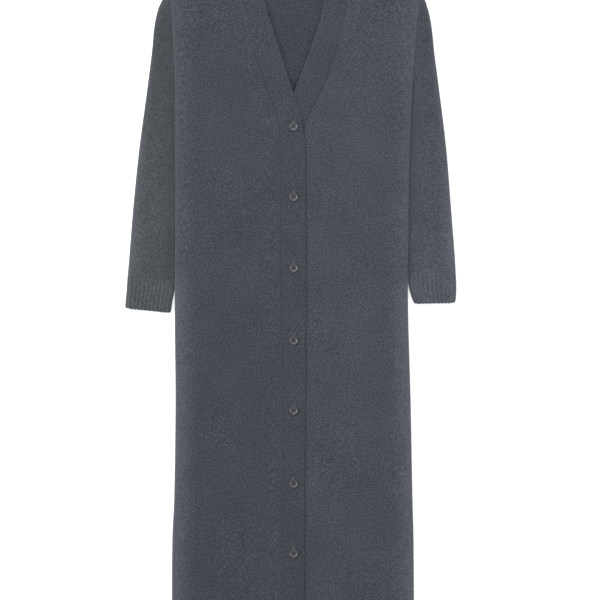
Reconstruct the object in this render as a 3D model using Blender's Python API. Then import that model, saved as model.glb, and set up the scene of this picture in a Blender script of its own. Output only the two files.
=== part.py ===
"""Long knitted duster cardigan, laid flat and buttoned.

The garment lies on its back: X runs across the body, Y from the hem up to the neck, Z up from the
surface it lies on. Sizes are in millimetres and are turned to metres where a mesh is made.
The wearer's right side is at -X and laps over the left at the front.
"""

from bisect import bisect_right
from math import cos, pi, radians, sin

import bmesh
import bpy

MM = 0.001

# The cloth and how it lies
WALL = 2.4
LAYER_GAP = 3.0
SEAM_GAP = 0.3
EDGE_RADIUS = WALL + LAYER_GAP / 2
INNER_RADIUS = LAYER_GAP / 2
LAP_RISE = WALL + SEAM_GAP
LAP_RISE_WIDTH = 40.0
ROUND_STEPS = (0, 30, 60)

# Heights above the hem
UNDERARM = 1040.0
SHOULDER_TIP = 1219.0
SHOULDER_NECK = 1262.0
LAP_TOP = 1045.0
LAP_LEVELS_OUT = 1180.0
EDGE_LEAD = 15.0
EDGE_LEAD_FROM = 925.0
EDGE_LEAD_TO = 1010.0
NECK_CORNER = 1248.0
TOTAL_HEIGHT = 1283.0

# Across the body, from the button line
NECK_CENTRE = 1.9
TIP_RIGHT = -229.0
TIP_LEFT = 238.0

# Side edge of the body below the underarm: height, x
SIDE_RIGHT = (
    (0, -225.5),
    (190, -224.5),
    (270, -221.0),
    (450, -218.5),
    (620, -220.0),
    (825, -219.0),
    (UNDERARM, -219.3),
)
SIDE_LEFT = (
    (0, 227.0),
    (190, 226.0),
    (270, 224.0),
    (450, 220.5),
    (640, 215.5),
    (770, 216.6),
    (880, 218.0),
    (965, 221.0),
    (UNDERARM, 225.0),
)

# Seam between the upper band and the right front: height, x
SEAM_RIGHT = (
    (0, -18.6),
    (270, -17.7),
    (490, -16.8),
    (770, -21.4),
    (925, -22.2),
    (960, -24.8),
    (988, -31.7),
    (1025, -44.7),
    (1074, -61.5),
    (1135, -83.0),
    (1180, -93.0),
    (SHOULDER_NECK, -114.6),
)
# Free edge of the upper band: height, x
EDGE_RIGHT = (
    (0, 21.1),
    (270, 21.8),
    (490, 23.9),
    (770, 24.2),
    (925, 23.3),
    (962, 18.7),
    (1000, 11.0),
    (1038, -2.8),
    (1090, -19.8),
    (1141, -35.4),
    (1191, -50.5),
    (SHOULDER_NECK + EDGE_LEAD, -71.0),
)
# Seam between the lower band and the left front: height, x
SEAM_LEFT = (
    (0, 18.6),
    (270, 19.4),
    (490, 21.4),
    (770, 21.8),
    (925, 20.6),
    (962, 22.2),
    (988, 33.0),
    (1010, 44.0),
    (1063, 67.0),
    (1098, 79.2),
    (1158, 98.0),
    (SHOULDER_NECK, 118.4),
)
# Free edge of the lower band: height, x
EDGE_LEFT = (
    (0, -16.6),
    (270, -15.7),
    (490, -14.8),
    (770, -19.4),
    (925, -19.6),
    (962, -16.5),
    (1000, -6.5),
    (1025, 2.8),
    (1074, 21.6),
    (1122, 39.0),
    (1172, 54.5),
    (SHOULDER_NECK + EDGE_LEAD, 73.6),
)

# Back neck, from the shoulder to its centre: seam from centre, seam height, edge from centre, edge height
BACK_NECK = (
    (104.0, 1241.5, 60.0, 1279.0),
    (89.0, 1238.5, 48.0, 1281.0),
    (46.0, 1238.0, 25.0, 1283.0),
    (0.15, 1238.0, 0.15, TOTAL_HEIGHT),
)
NECK_CORNER_EDGE = (67.0, 1276.5)

# Heights of the rows that panels and bands share, below and above the place where the V begins
ROWS_BELOW = tuple(range(0, 900, 75))
ROWS_ABOVE = (900, 925, 943, 960, 976, 993, 1012, 1034)
ROWS_NECK = (1088, 1120, 1155, 1190, 1225)
FAN_FROM = 900.0
BACK_TOP_FROM = 1155.0

# Sleeve and cuff, row by row: outer x, outer height, inner height
SLEEVE_RIGHT = (
    (TIP_RIGHT, SHOULDER_TIP, UNDERARM),
    (-237.0, 1209.0, 1031.0),
    (-245.5, 1195.0, 1020.0),
    (-252.5, 1177.0, 1007.0),
    (-258.5, 1146.0, 988.0),
    (-262.5, 1103.0, 962.0),
    (-271.2, 1034.0, 920.0),
    (-286.0, 923.0, 850.0),
    (-297.0, 817.0, 770.0),
    (-304.8, 721.0, 700.0),
    (-308.0, 684.0, 676.0),
)
SLEEVE_LEFT = (
    (TIP_LEFT, SHOULDER_TIP, UNDERARM),
    (244.0, 1208.0, 1031.0),
    (250.0, 1192.0, 1020.0),
    (256.0, 1170.0, 1007.0),
    (261.0, 1138.0, 988.0),
    (265.0, 1099.0, 962.0),
    (273.5, 1034.0, 920.0),
    (287.0, 923.0, 850.0),
    (295.5, 817.0, 770.0),
    (303.0, 721.0, 712.0),
    (304.5, 694.0, 690.0),
)
SLEEVE_EDGE_RADIUS = 3.1
SLEEVE_LOFT = 0.8
SLEEVE_TUCK_ROWS = 3
SLEEVE_FLATS = 7

# Where the walls' columns lie, as shares of their width
FRONT_COLUMNS = (0, 0.35, 0.7, 1)
LAP_COLUMNS = (0.35, 0.7, 1)
BACK_COLUMNS = (0, 0.33, 0.66, 1)
BAND_COLUMNS = (0, 0.5, 1)
BAND_FOLD_STEPS = (60, 30, 0, -30, -60, -90)
TUBE_EDGE_STEPS = (-60, -30, 0, 30, 60)
TUBE_UNDERSIDE_POINTS = 6
SIDE_FLATTENS_OVER = 45.0

# Cuffs: outer x and height, inner x and height, from the sleeve to the end
CUFF_RIGHT = (
    (-308.1, 683.7, -220.4, 675.7),
    (-309.6, 662.0, -221.2, 655.0),
    (-311.2, 643.0, -224.2, 638.0),
    (-312.6, 627.0, -226.9, 619.5),
    (-311.6, 623.5, -228.1, 615.3),
)
CUFF_LEFT = (
    (304.5, 693.7, 216.4, 689.7),
    (305.9, 670.0, 216.7, 668.0),
    (305.6, 652.0, 220.6, 650.0),
    (304.4, 637.5, 225.2, 636.5),
    (303.2, 633.8, 226.6, 632.2),
)
CENTRE_X = (min(row[0] for row in CUFF_RIGHT) + max(row[0] for row in CUFF_LEFT)) / 2
CUFF_RIBS_RIGHT = 11
CUFF_RIBS_LEFT = 10
RIB_HEIGHT = 1.0
RIB_SHAPE = (0.0, 0.75, 1.0, 0.75)

# Buttons: height above the hem
BUTTON_HEIGHTS = (962.0, 831.0, 699.0, 564.0, 434.0, 298.0, 168.0)
BUTTON_X = 2.0
BUTTON_RADIUS = 8.4
BUTTON_RIM = 1.7
BUTTON_THICK = 2.8
BUTTON_DISH = 1.0
BUTTON_SIDES = 24
SHANK_RADIUS = 0.9
THREAD_HOLE = 0.8
THREAD_HOLE_OFFSET = 1.75
BUTTONHOLE_LENGTH = 18.0
BUTTONHOLE_WIDTH = 2.6
BUTTONHOLE_ABOVE = 2.2
CUT_PAST = 1.0
HOLE_SIDES = 8

# A button's outline: inset from its radius, and height from its underside
BUTTON_OUTLINE = (
    (1.6, 0.0),
    (0.2, 0.9),
    (0.0, 1.6),
    (0.5, BUTTON_THICK - 0.2),
    (1.1, BUTTON_THICK),
    (BUTTON_RIM, BUTTON_THICK - 0.3),
    (BUTTON_RIM + 1.0, BUTTON_THICK - BUTTON_DISH),
)

COLOURS = {
    "wool": ((0.074, 0.082, 0.102), 0.95),
    "wool_band": ((0.072, 0.077, 0.103), 0.95),
    "wool_rib": ((0.088, 0.095, 0.112), 0.95),
    "horn": ((0.12, 0.125, 0.13), 0.42),
}


def clear_scene():
    """Empties the scene, so that only the garment is in it."""
    for item in list(bpy.data.objects):
        bpy.data.objects.remove(item, do_unlink=True)


def material(name):
    """The finish of one kind of piece."""
    found = bpy.data.materials.get(name)
    if found:
        return found
    colour, roughness = COLOURS[name]
    made = bpy.data.materials.new(name)
    made.use_nodes = True
    shader = made.node_tree.nodes["Principled BSDF"]
    shader.inputs["Base Color"].default_value = (*colour, 1.0)
    shader.inputs["Roughness"].default_value = roughness
    shader.inputs["Metallic"].default_value = 0.0
    return made


def mix(first, second, share):
    return first + (second - first) * share


def ease(start, end, at):
    """Smooth step from 0 at start to 1 at end."""
    share = max(0.0, min(1.0, (at - start) / (end - start)))
    return share * share * (3 - 2 * share)


def along(table, at):
    """Smooth value of a table of (height, value) rows at one height."""
    heights = [row[0] for row in table]
    here = max(0, min(len(table) - 2, bisect_right(heights, at) - 1))

    def slope(row):
        low, high = max(0, row - 1), min(len(table) - 1, row + 1)
        return (table[high][1] - table[low][1]) / (table[high][0] - table[low][0])

    (low_at, low), (high_at, high) = table[here], table[here + 1]
    span = high_at - low_at
    t = (at - low_at) / span
    start, end = slope(here) * span, slope(here + 1) * span
    return (
        low * (2 * t**3 - 3 * t**2 + 1)
        + start * (t**3 - 2 * t**2 + t)
        + high * (3 * t**2 - 2 * t**3)
        + end * (t**3 - t**2)
    )


class Side:
    """One half of the body: its edges, worked out at any height."""

    def __init__(self, sign, side, tip, seam, edge, lapped):
        self.sign = sign
        self.side = side
        self.tip = tip
        self.seam = seam
        self.edge = edge
        self.lapped = lapped

    def side_x(self, height):
        if height <= UNDERARM:
            return along(self.side, height)
        share = (height - UNDERARM) / (SHOULDER_TIP - UNDERARM)
        return mix(self.side[-1][1], self.tip, share)

    def seam_x(self, height):
        return along(self.seam, height)

    def edge_x(self, height):
        return along(self.edge, height)

    def lap(self, height):
        """How far the band is raised on the one below it, 0 where it isn't."""
        if not self.lapped:
            return 0.0
        return LAP_RISE * (1 - ease(LAP_TOP, LAP_LEVELS_OUT, height))


RIGHT = Side(-1, SIDE_RIGHT, TIP_RIGHT, SEAM_RIGHT, EDGE_RIGHT, True)
LEFT = Side(1, SIDE_LEFT, TIP_LEFT, SEAM_LEFT, EDGE_LEFT, False)


def side_height(seam_height):
    """Height at the side edge of the row that meets the band's seam at this height."""
    if seam_height <= FAN_FROM:
        return seam_height
    reach = (SHOULDER_TIP - EDGE_RADIUS - FAN_FROM) / (SHOULDER_NECK - EDGE_RADIUS - FAN_FROM)
    return FAN_FROM + (seam_height - FAN_FROM) * reach


def seam_height_at_underarm():
    reach = (SHOULDER_TIP - EDGE_RADIUS - FAN_FROM) / (SHOULDER_NECK - EDGE_RADIUS - FAN_FROM)
    return FAN_FROM + (UNDERARM - FAN_FROM) / reach


ROW_HEIGHTS = (
    ROWS_BELOW
    + ROWS_ABOVE
    + (seam_height_at_underarm(),)
    + ROWS_NECK
    + (SHOULDER_NECK - EDGE_RADIUS,)
)


def shell(name, outer, inner, finish, around=False):
    """A closed wall between two grids of points, open or closed round its rows."""
    rows, columns = len(outer), len(outer[0])
    points = [point for grid in (outer, inner) for row in grid for point in row]
    inner_from = rows * columns
    faces = []
    last = columns if around else columns - 1
    for row in range(rows - 1):
        for column in range(last):
            beside = (column + 1) % columns
            a, b = row * columns + column, row * columns + beside
            c, d = a + columns, b + columns
            faces.append((a, b, d, c))
            faces.append((inner_from + c, inner_from + d, inner_from + b, inner_from + a))
    for row in (0, rows - 1):
        for column in range(last):
            a, b = row * columns + column, row * columns + (column + 1) % columns
            faces.append((a, b, inner_from + b, inner_from + a))
    if not around:
        for row in range(rows - 1):
            for column in (0, columns - 1):
                a, b = row * columns + column, (row + 1) * columns + column
                faces.append((a, b, inner_from + b, inner_from + a))
    return mesh_object(name, points, faces, finish)


def mesh_object(name, points, faces, finish):
    """One named object from points in millimetres, faces turned outwards."""
    mesh = bpy.data.meshes.new(name)
    middle = TOTAL_HEIGHT / 2
    mesh.from_pydata([((x - CENTRE_X) * MM, (y - middle) * MM, z * MM) for x, y, z in points], [], faces)
    shape = bmesh.new()
    shape.from_mesh(mesh)
    bmesh.ops.recalc_face_normals(shape, faces=shape.faces[:])
    bmesh.ops.triangulate(shape, faces=shape.faces[:])
    shape.to_mesh(mesh)
    shape.free()
    mesh.shade_smooth()
    mesh.set_sharp_from_angle(angle=radians(40))
    made = bpy.data.objects.new(name, mesh)
    made.data.materials.append(material(finish))
    bpy.context.scene.collection.objects.link(made)
    return made


def turned(radius, angle, half):
    """Inset from the outermost line, and height, of a wall's point round the edge."""
    height = max(radius * sin(radians(angle)), SEAM_GAP / 2)
    return EDGE_RADIUS - radius * cos(radians(angle)), EDGE_RADIUS + half * height


def panel_rows(half):
    """For each row: seam height and side height of both surfaces, and their levels."""
    rows = []
    for height in ROW_HEIGHTS:
        rows.append([(height, side_height(height), EDGE_RADIUS + half * radius) for radius in
                     (EDGE_RADIUS, INNER_RADIUS)])
    for angle in reversed(ROUND_STEPS):
        row = []
        for radius in (EDGE_RADIUS, INNER_RADIUS):
            inset, level = turned(radius, angle, half)
            row.append((SHOULDER_NECK - inset, SHOULDER_TIP - inset, level))
        rows.append(row)
    return rows


def side_round(side, height, level, radius, angle, half):
    """Point of the turned side edge, which goes flat where the sleeve is set in."""
    flat = ease(UNDERARM - SIDE_FLATTENS_OVER, UNDERARM, height)
    inset, turned_level = turned(radius, angle, half)
    outer_inset = turned(EDGE_RADIUS, angle, half)[0]
    x = side.side_x(height) - side.sign * mix(inset, outer_inset, flat)
    return x, height, mix(turned_level, level, flat)


def front_panel(name, side):
    """One front, from its side edge to the band, raised to the band where it laps."""
    outer, inner = [], []
    for row in panel_rows(1):
        for grid, radius, (seam_height, height, level) in zip(
            (outer, inner), (EDGE_RADIUS, INNER_RADIUS), row
        ):
            line = [side_round(side, height, level, radius, angle, 1) for angle in ROUND_STEPS]
            start = side.side_x(height) - side.sign * EDGE_RADIUS
            end = side.seam_x(seam_height) + side.sign * SEAM_GAP
            rise = side.lap(seam_height)
            flat_share = 1 - LAP_RISE_WIDTH / abs(end - start)
            shares = [flat_share * part for part in FRONT_COLUMNS]
            shares += [mix(flat_share, 1, part) for part in LAP_COLUMNS]
            for share in shares:
                raised = rise * ease(flat_share, 1, share)
                line.append((mix(start, end, share), mix(height, seam_height, share), level + raised))
            grid.append(line)
    return shell(name, outer, inner, "wool")


def neck_line(side):
    """Seam and edge points of the band behind the neck, from the shoulder to the centre."""
    line = [
        (
            side.seam_x(NECK_CORNER),
            NECK_CORNER,
            NECK_CENTRE + side.sign * NECK_CORNER_EDGE[0],
            NECK_CORNER_EDGE[1],
        )
    ]
    for seam, seam_height, edge, edge_height in BACK_NECK:
        seam_x = NECK_CENTRE + side.sign * seam
        edge_x = NECK_CENTRE + side.sign * edge
        line.append((seam_x, seam_height, edge_x, edge_height))
    return line


def back_half(side, with_centre):
    """Columns of the back on one side, each a list of outer and inner points up its height."""
    rows = panel_rows(-1)
    columns = []
    for angle in ROUND_STEPS:
        column = []
        for row in rows:
            pair = []
            for radius, (_, height, level) in zip((EDGE_RADIUS, INNER_RADIUS), row):
                pair.append(side_round(side, height, level, radius, angle, -1))
            column.append(pair)
        columns.append(column)
    for share in BACK_COLUMNS:
        column = []
        for row in rows:
            pair = []
            for seam_height, height, level in row:
                start = side.side_x(height) - side.sign * EDGE_RADIUS
                at = seam_height if seam_height > NECK_CORNER else SHOULDER_NECK
                neck = side.seam_x(at) + side.sign * SEAM_GAP
                pair.append((mix(start, neck, share), mix(height, seam_height, share), level))
            column.append(pair)
        columns.append(column)
    neck = neck_line(side)
    first = sum(height <= BACK_TOP_FROM for height in ROW_HEIGHTS)
    for number, (x, top, _, _) in enumerate(neck[: len(neck) if with_centre else -1]):
        x = x + side.sign * SEAM_GAP if number == 0 else x
        x = NECK_CENTRE if number == len(neck) - 1 else x
        column = []
        for index, row in enumerate(rows):
            height = row[0][0]
            if index >= first:
                height = mix(BACK_TOP_FROM, top - SEAM_GAP, (index - first + 1) / (len(rows) - first))
            column.append([(x, height, 0.0), (x, height, WALL)])
        columns.append(column)
    return columns


def back_panel():
    """The back, from side edge to side edge, with the neck cut into its top."""
    columns = back_half(RIGHT, True) + list(reversed(back_half(LEFT, False)))
    rows = len(columns[0])
    outer = [[column[row][0] for column in columns] for row in range(rows)]
    inner = [[column[row][1] for column in columns] for row in range(rows)]
    return shell("back", outer, inner, "wool")


def band_section(seam, edge, level):
    """Three points across the band at one level."""
    return [
        (mix(seam[0], edge[0], share), mix(seam[1], edge[1], share), level) for share in BAND_COLUMNS
    ]


def band(name, side):
    """Half of the front band: up one front, over the shoulder and to the centre of the back neck."""
    outer, inner = [], []
    for height in ROW_HEIGHTS:
        lead = EDGE_LEAD * ease(EDGE_LEAD_FROM, EDGE_LEAD_TO, height)
        seam = (side.seam_x(height), height)
        edge = (side.edge_x(height + lead), height + lead)
        level = EDGE_RADIUS + side.lap(height)
        outer.append(band_section(seam, edge, level + EDGE_RADIUS))
        inner.append(band_section(seam, edge, level + INNER_RADIUS))
    for angle in BAND_FOLD_STEPS:
        for grid, radius in ((outer, EDGE_RADIUS), (inner, INNER_RADIUS)):
            height = SHOULDER_NECK - EDGE_RADIUS + radius * cos(radians(angle))
            seam = (side.seam_x(height), height)
            edge = (side.edge_x(height + EDGE_LEAD), height + EDGE_LEAD)
            grid.append(band_section(seam, edge, EDGE_RADIUS + radius * sin(radians(angle))))
    for seam_x, seam_height, edge_x, edge_height in neck_line(side):
        for grid, level in ((outer, 0.0), (inner, WALL)):
            grid.append(band_section((seam_x, seam_height), (edge_x, edge_height), level))
    return shell(name, outer, inner, "wool_band")


def tube_ring(start, end, radii, loft, flats, bumps=None):
    """Outer and inner points round a tube lying flat, from its outer edge over the top and back.

    start and end are the outermost plan points of its two edges and radii their half heights.
    """
    length = ((end[0] - start[0]) ** 2 + (end[1] - start[1]) ** 2) ** 0.5
    rings = []
    for wall in (0.0, WALL):
        ring = []

        def place(distance, level):
            share = distance / length
            ring.append((mix(start[0], end[0], share), mix(start[1], end[1], share), level))

        def rounded(radius, angles, at_end):
            for angle in angles:
                inset = radius - (radius - wall) * cos(radians(angle))
                distance = length - inset if at_end else inset
                place(distance, radius + (radius - wall) * sin(radians(angle)))

        rounded(radii[0], TUBE_EDGE_STEPS, False)
        first, last = radii[0], length - radii[1]
        for number in range(flats + 1):
            share = number / flats
            top = 2 * mix(radii[0], radii[1], share) + loft * sin(pi * share)
            bump = bumps[number] if bumps and wall == 0.0 else 0.0
            place(mix(first, last, share), top - wall + bump)
        rounded(radii[1], tuple(reversed(TUBE_EDGE_STEPS)), True)
        for number in range(TUBE_UNDERSIDE_POINTS):
            place(mix(last, first, number / (TUBE_UNDERSIDE_POINTS - 1)), wall)
        rings.append(ring)
    return rings


def smooth_rows(rows, steps):
    """Rows of values with smoothly worked out rows between them."""
    result = []
    for index in range(len(rows) - 1):
        before, start, end, after = (
            rows[max(0, index - 1)],
            rows[index],
            rows[index + 1],
            rows[min(len(rows) - 1, index + 2)],
        )
        for step in range(steps):
            t = step / steps
            result.append(
                tuple(
                    b + 0.5 * t * (c - a + t * (2 * a - 5 * b + 4 * c - d + t * (3 * (b - c) + d - a)))
                    for a, b, c, d in zip(before, start, end, after)
                )
            )
    result.append(rows[-1])
    return result


def sleeve(name, side, table):
    """A sleeve from its armhole to the cuff, beside the body it is set into."""
    rows = smooth_rows(table[:6], 1)[:-1] + smooth_rows(table[5:], 2)
    outer, inner = [], []
    for index, (outer_x, outer_height, inner_height) in enumerate(rows):
        tuck = min(1.0, index / SLEEVE_TUCK_ROWS)
        start = (outer_x + side.sign * SEAM_GAP * (1 - tuck), outer_height)
        end = (side.side_x(inner_height) + side.sign * (SEAM_GAP + 0.05), inner_height)
        radii = (EDGE_RADIUS, mix(EDGE_RADIUS, SLEEVE_EDGE_RADIUS, tuck))
        ring = tube_ring(start, end, radii, SLEEVE_LOFT * tuck, SLEEVE_FLATS)
        outer.append(ring[0])
        inner.append(ring[1])
    return shell(name, outer, inner, "wool", around=True)


def cuff(name, table, ribs):
    """A ribbed cuff, plain inside, its ribs raised on the face that shows and round the edges."""
    flats = ribs * len(RIB_SHAPE)
    bumps = [RIB_HEIGHT * RIB_SHAPE[number % len(RIB_SHAPE)] for number in range(flats + 1)]
    outer, inner = [], []
    for outer_x, outer_height, inner_x, inner_height in table:
        ring = tube_ring(
            (outer_x, outer_height),
            (inner_x, inner_height),
            (EDGE_RADIUS, SLEEVE_EDGE_RADIUS),
            SLEEVE_LOFT,
            flats,
            bumps,
        )
        outer.append(ring[0])
        inner.append(ring[1])
    return shell(name, outer, inner, "wool_rib", around=True)


def button_profile():
    """Radius and height of a button from the foot of its shank round to the middle of its dish."""
    shank = [(SHANK_RADIUS, -(WALL + SEAM_GAP)), (SHANK_RADIUS, 0.0)]
    return shank + [(BUTTON_RADIUS - inset, height) for inset, height in BUTTON_OUTLINE]


def cutter(name, points, faces):
    made = mesh_object(name, points, faces, "horn")
    made.hide_render = True
    made.display_type = "WIRE"
    return made


def prism(centre, radius, low, high, sides):
    """Points and faces of an upright prism."""
    x, y = centre
    points = []
    for level in (low, high):
        for number in range(sides):
            angle = 2 * pi * number / sides
            points.append((x + radius * cos(angle), y + radius * sin(angle), level))
    faces = [tuple(range(sides)), tuple(range(sides, 2 * sides))]
    for number in range(sides):
        beside = (number + 1) % sides
        faces.append((number, beside, sides + beside, sides + number))
    return points, faces


def join_solids(parts):
    """Points and faces of several shapes as one list."""
    points, faces = [], []
    for part_points, part_faces in parts:
        faces += [tuple(len(points) + corner for corner in face) for face in part_faces]
        points += part_points
    return points, faces


def subtract(body, tool):
    cut = body.modifiers.new("cut", "BOOLEAN")
    cut.operation = "DIFFERENCE"
    cut.object = tool


def button_place(height):
    """Plan point of a button, and the level of the band's face under it."""
    level = 2 * EDGE_RADIUS + LAP_RISE
    return BUTTON_X, height, level


def button(number, height):
    """One turned button with a dished face, four thread holes and its shank of thread."""
    x, y, face = button_place(height)
    base = face + SEAM_GAP
    points, faces = [], []
    profile = button_profile()
    for radius, level in profile:
        for side in range(BUTTON_SIDES):
            angle = 2 * pi * side / BUTTON_SIDES
            points.append((x + radius * cos(angle), y + radius * sin(angle), base + level))
    for row in range(len(profile) - 1):
        for side in range(BUTTON_SIDES):
            beside = (side + 1) % BUTTON_SIDES
            a, b = row * BUTTON_SIDES + side, row * BUTTON_SIDES + beside
            faces.append((a, b, b + BUTTON_SIDES, a + BUTTON_SIDES))
    faces.append(tuple(range(BUTTON_SIDES)))
    faces.append(tuple(range((len(profile) - 1) * BUTTON_SIDES, len(profile) * BUTTON_SIDES)))
    made = mesh_object(f"button_{number}", points, faces, "horn")
    holes = []
    for across in (-1, 1):
        for up in (-1, 1):
            centre = (x + across * THREAD_HOLE_OFFSET, y + up * THREAD_HOLE_OFFSET)
            holes.append(prism(centre, THREAD_HOLE, base - CUT_PAST, base + BUTTON_THICK, HOLE_SIDES))
    subtract(made, cutter(f"thread_holes_{number}", *join_solids(holes)))
    return made


def buttonholes(upper_band):
    """Cuts the upright slits that the buttons' shanks come through."""
    slits = []
    for height in BUTTON_HEIGHTS:
        x, y, face = button_place(height)
        low = y + BUTTONHOLE_ABOVE - BUTTONHOLE_LENGTH / 2
        high = low + BUTTONHOLE_LENGTH
        half = BUTTONHOLE_WIDTH / 2
        right_side = [(x + half, y - half), (x + half, y + half)]
        left_side = [(x - half, y + half), (x - half, y - half)]
        outline = [(x, low), *right_side, (x, high), *left_side]
        levels = (face - WALL - CUT_PAST, face + CUT_PAST)
        points = [(px, py, level) for level in levels for px, py in outline]
        count = len(outline)
        faces = [tuple(range(count)), tuple(range(count, 2 * count))]
        for number in range(count):
            beside = (number + 1) % count
            faces.append((number, beside, count + beside, count + number))
        slits.append((points, faces))
    subtract(upper_band, cutter("buttonhole_slits", *join_solids(slits)))


def main():
    clear_scene()
    back_panel()
    front_panel("front_right", RIGHT)
    front_panel("front_left", LEFT)
    upper_band = band("band_top", RIGHT)
    buttonholes(upper_band)
    band("band_under", LEFT)
    sleeve("sleeve_right", RIGHT, SLEEVE_RIGHT)
    sleeve("sleeve_left", LEFT, SLEEVE_LEFT)
    cuff("cuff_right", CUFF_RIGHT, CUFF_RIBS_RIGHT)
    cuff("cuff_left", CUFF_LEFT, CUFF_RIBS_LEFT)
    for number, height in enumerate(BUTTON_HEIGHTS, 1):
        button(number, height)


main()
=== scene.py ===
from bisect import bisect_right
from math import cos, pi, radians, sin, sqrt

import bmesh
import bpy
import numpy as np
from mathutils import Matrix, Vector, noise


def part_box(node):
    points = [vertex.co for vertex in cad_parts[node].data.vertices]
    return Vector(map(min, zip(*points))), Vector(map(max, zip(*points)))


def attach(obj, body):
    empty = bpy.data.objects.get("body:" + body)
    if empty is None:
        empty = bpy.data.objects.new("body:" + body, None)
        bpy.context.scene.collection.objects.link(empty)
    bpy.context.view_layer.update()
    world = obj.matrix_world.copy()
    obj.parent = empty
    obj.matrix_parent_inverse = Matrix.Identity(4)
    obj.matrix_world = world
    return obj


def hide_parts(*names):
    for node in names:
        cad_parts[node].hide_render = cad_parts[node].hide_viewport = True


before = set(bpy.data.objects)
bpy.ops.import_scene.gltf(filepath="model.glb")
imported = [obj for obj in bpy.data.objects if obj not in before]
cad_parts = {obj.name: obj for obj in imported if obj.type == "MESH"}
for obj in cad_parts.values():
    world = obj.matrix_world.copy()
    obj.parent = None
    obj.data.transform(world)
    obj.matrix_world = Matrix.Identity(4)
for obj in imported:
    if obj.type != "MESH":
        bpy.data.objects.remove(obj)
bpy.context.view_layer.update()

bl_info = {
    "name": "Duster cardigan",
    "version": (1, 0, 0),
    "blender": (4, 5, 0),
    "location": "3D View > Sidebar > Cardigan",
    "description": "Dresses a long marl-knit cardigan that lies flat: cloth, ribs, seams and buttons",
    "category": "Object",
}

MM = 0.001

# The cloth and how it lies, in millimetres, as in the part's source
WALL = 2.4
EDGE_RADIUS = 3.9
INNER_RADIUS = EDGE_RADIUS - WALL
SEAM_GAP = 0.3
LAP_RISE = 2.7
LAP_RISE_WIDTH = 40.0
UNDERARM = 1040.0
SHOULDER_TIP = 1219.0
SHOULDER_NECK = 1262.0
LAP_TOP = 1045.0
LAP_LEVELS_OUT = 1180.0
EDGE_LEAD = 15.0
EDGE_LEAD_FROM = 925.0
EDGE_LEAD_TO = 1010.0
NECK_CORNER = 1248.0
NECK_CENTRE = 1.9
FAN_FROM = 900.0
BACK_TOP_FROM = 1155.0
BUTTON_X = 2.0
BUTTON_HEIGHTS = (962.0, 831.0, 699.0, 564.0, 434.0, 298.0, 168.0)
BUTTON_RADIUS = 8.4

# Side edge of the body, from the hem to the underarm: height, x
SIDE_RIGHT = ((0, -225.5), (190, -224.5), (270, -221.0), (450, -218.5), (620, -220.0), (825, -219.0),
              (UNDERARM, -219.3))
SIDE_LEFT = ((0, 227.0), (190, 226.0), (270, 224.0), (450, 220.5), (640, 215.5), (770, 216.6),
             (880, 218.0), (965, 221.0), (UNDERARM, 225.0))
TIP_RIGHT = -229.0
TIP_LEFT = 238.0

# Front bands: the seam to the front and the free edge, height and x
SEAM_RIGHT = ((0, -18.6), (270, -17.7), (490, -16.8), (770, -21.4), (925, -22.2), (960, -24.8),
              (988, -31.7), (1025, -44.7), (1074, -61.5), (1135, -83.0), (1180, -93.0),
              (SHOULDER_NECK, -114.6))
EDGE_RIGHT = ((0, 21.1), (270, 21.8), (490, 23.9), (770, 24.2), (925, 23.3), (962, 18.7),
              (1000, 11.0), (1038, -2.8), (1090, -19.8), (1141, -35.4), (1191, -50.5),
              (SHOULDER_NECK + EDGE_LEAD, -71.0))
SEAM_LEFT = ((0, 18.6), (270, 19.4), (490, 21.4), (770, 21.8), (925, 20.6), (962, 22.2),
             (988, 33.0), (1010, 44.0), (1063, 67.0), (1098, 79.2), (1158, 98.0),
             (SHOULDER_NECK, 118.4))
EDGE_LEFT = ((0, -16.6), (270, -15.7), (490, -14.8), (770, -19.4), (925, -19.6), (962, -16.5),
             (1000, -6.5), (1025, 2.8), (1074, 21.6), (1122, 39.0), (1172, 54.5),
             (SHOULDER_NECK + EDGE_LEAD, 73.6))

# Back neck, shoulder to centre: seam from centre, seam height, edge from centre, edge height
BACK_NECK = ((104.0, 1241.5, 60.0, 1279.0), (89.0, 1238.5, 48.0, 1281.0), (46.0, 1238.0, 25.0, 1283.0),
             (0.15, 1238.0, 0.15, 1283.0))
NECK_CORNER_EDGE = (67.0, 1276.5)

# Sleeves, row by row: outer x, outer height, inner height
SLEEVE_RIGHT = ((TIP_RIGHT, SHOULDER_TIP, UNDERARM), (-237.0, 1209.0, 1031.0), (-245.5, 1195.0, 1020.0),
                (-252.5, 1177.0, 1007.0), (-258.5, 1146.0, 988.0), (-262.5, 1103.0, 962.0),
                (-271.2, 1034.0, 920.0), (-286.0, 923.0, 850.0), (-297.0, 817.0, 770.0),
                (-304.8, 721.0, 700.0), (-308.0, 684.0, 676.0))
SLEEVE_LEFT = ((TIP_LEFT, SHOULDER_TIP, UNDERARM), (244.0, 1208.0, 1031.0), (250.0, 1192.0, 1020.0),
               (256.0, 1170.0, 1007.0), (261.0, 1138.0, 988.0), (265.0, 1099.0, 962.0),
               (273.5, 1034.0, 920.0), (287.0, 923.0, 850.0), (295.5, 817.0, 770.0),
               (303.0, 721.0, 712.0), (304.5, 694.0, 690.0))
SLEEVE_EDGE_RADIUS = 3.1

# Cuffs, sleeve to end: outer x and height, inner x and height
CUFF_RIGHT = ((-308.1, 683.7, -220.4, 675.7), (-309.6, 662.0, -221.2, 655.0),
              (-311.2, 643.0, -224.2, 638.0), (-312.6, 627.0, -226.9, 619.5),
              (-311.6, 623.5, -228.1, 615.3))
CUFF_LEFT = ((304.5, 693.7, 216.4, 689.7), (305.9, 670.0, 216.7, 668.0), (305.6, 652.0, 220.6, 650.0),
             (304.4, 637.5, 225.2, 636.5), (303.2, 633.8, 226.6, 632.2))

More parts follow.
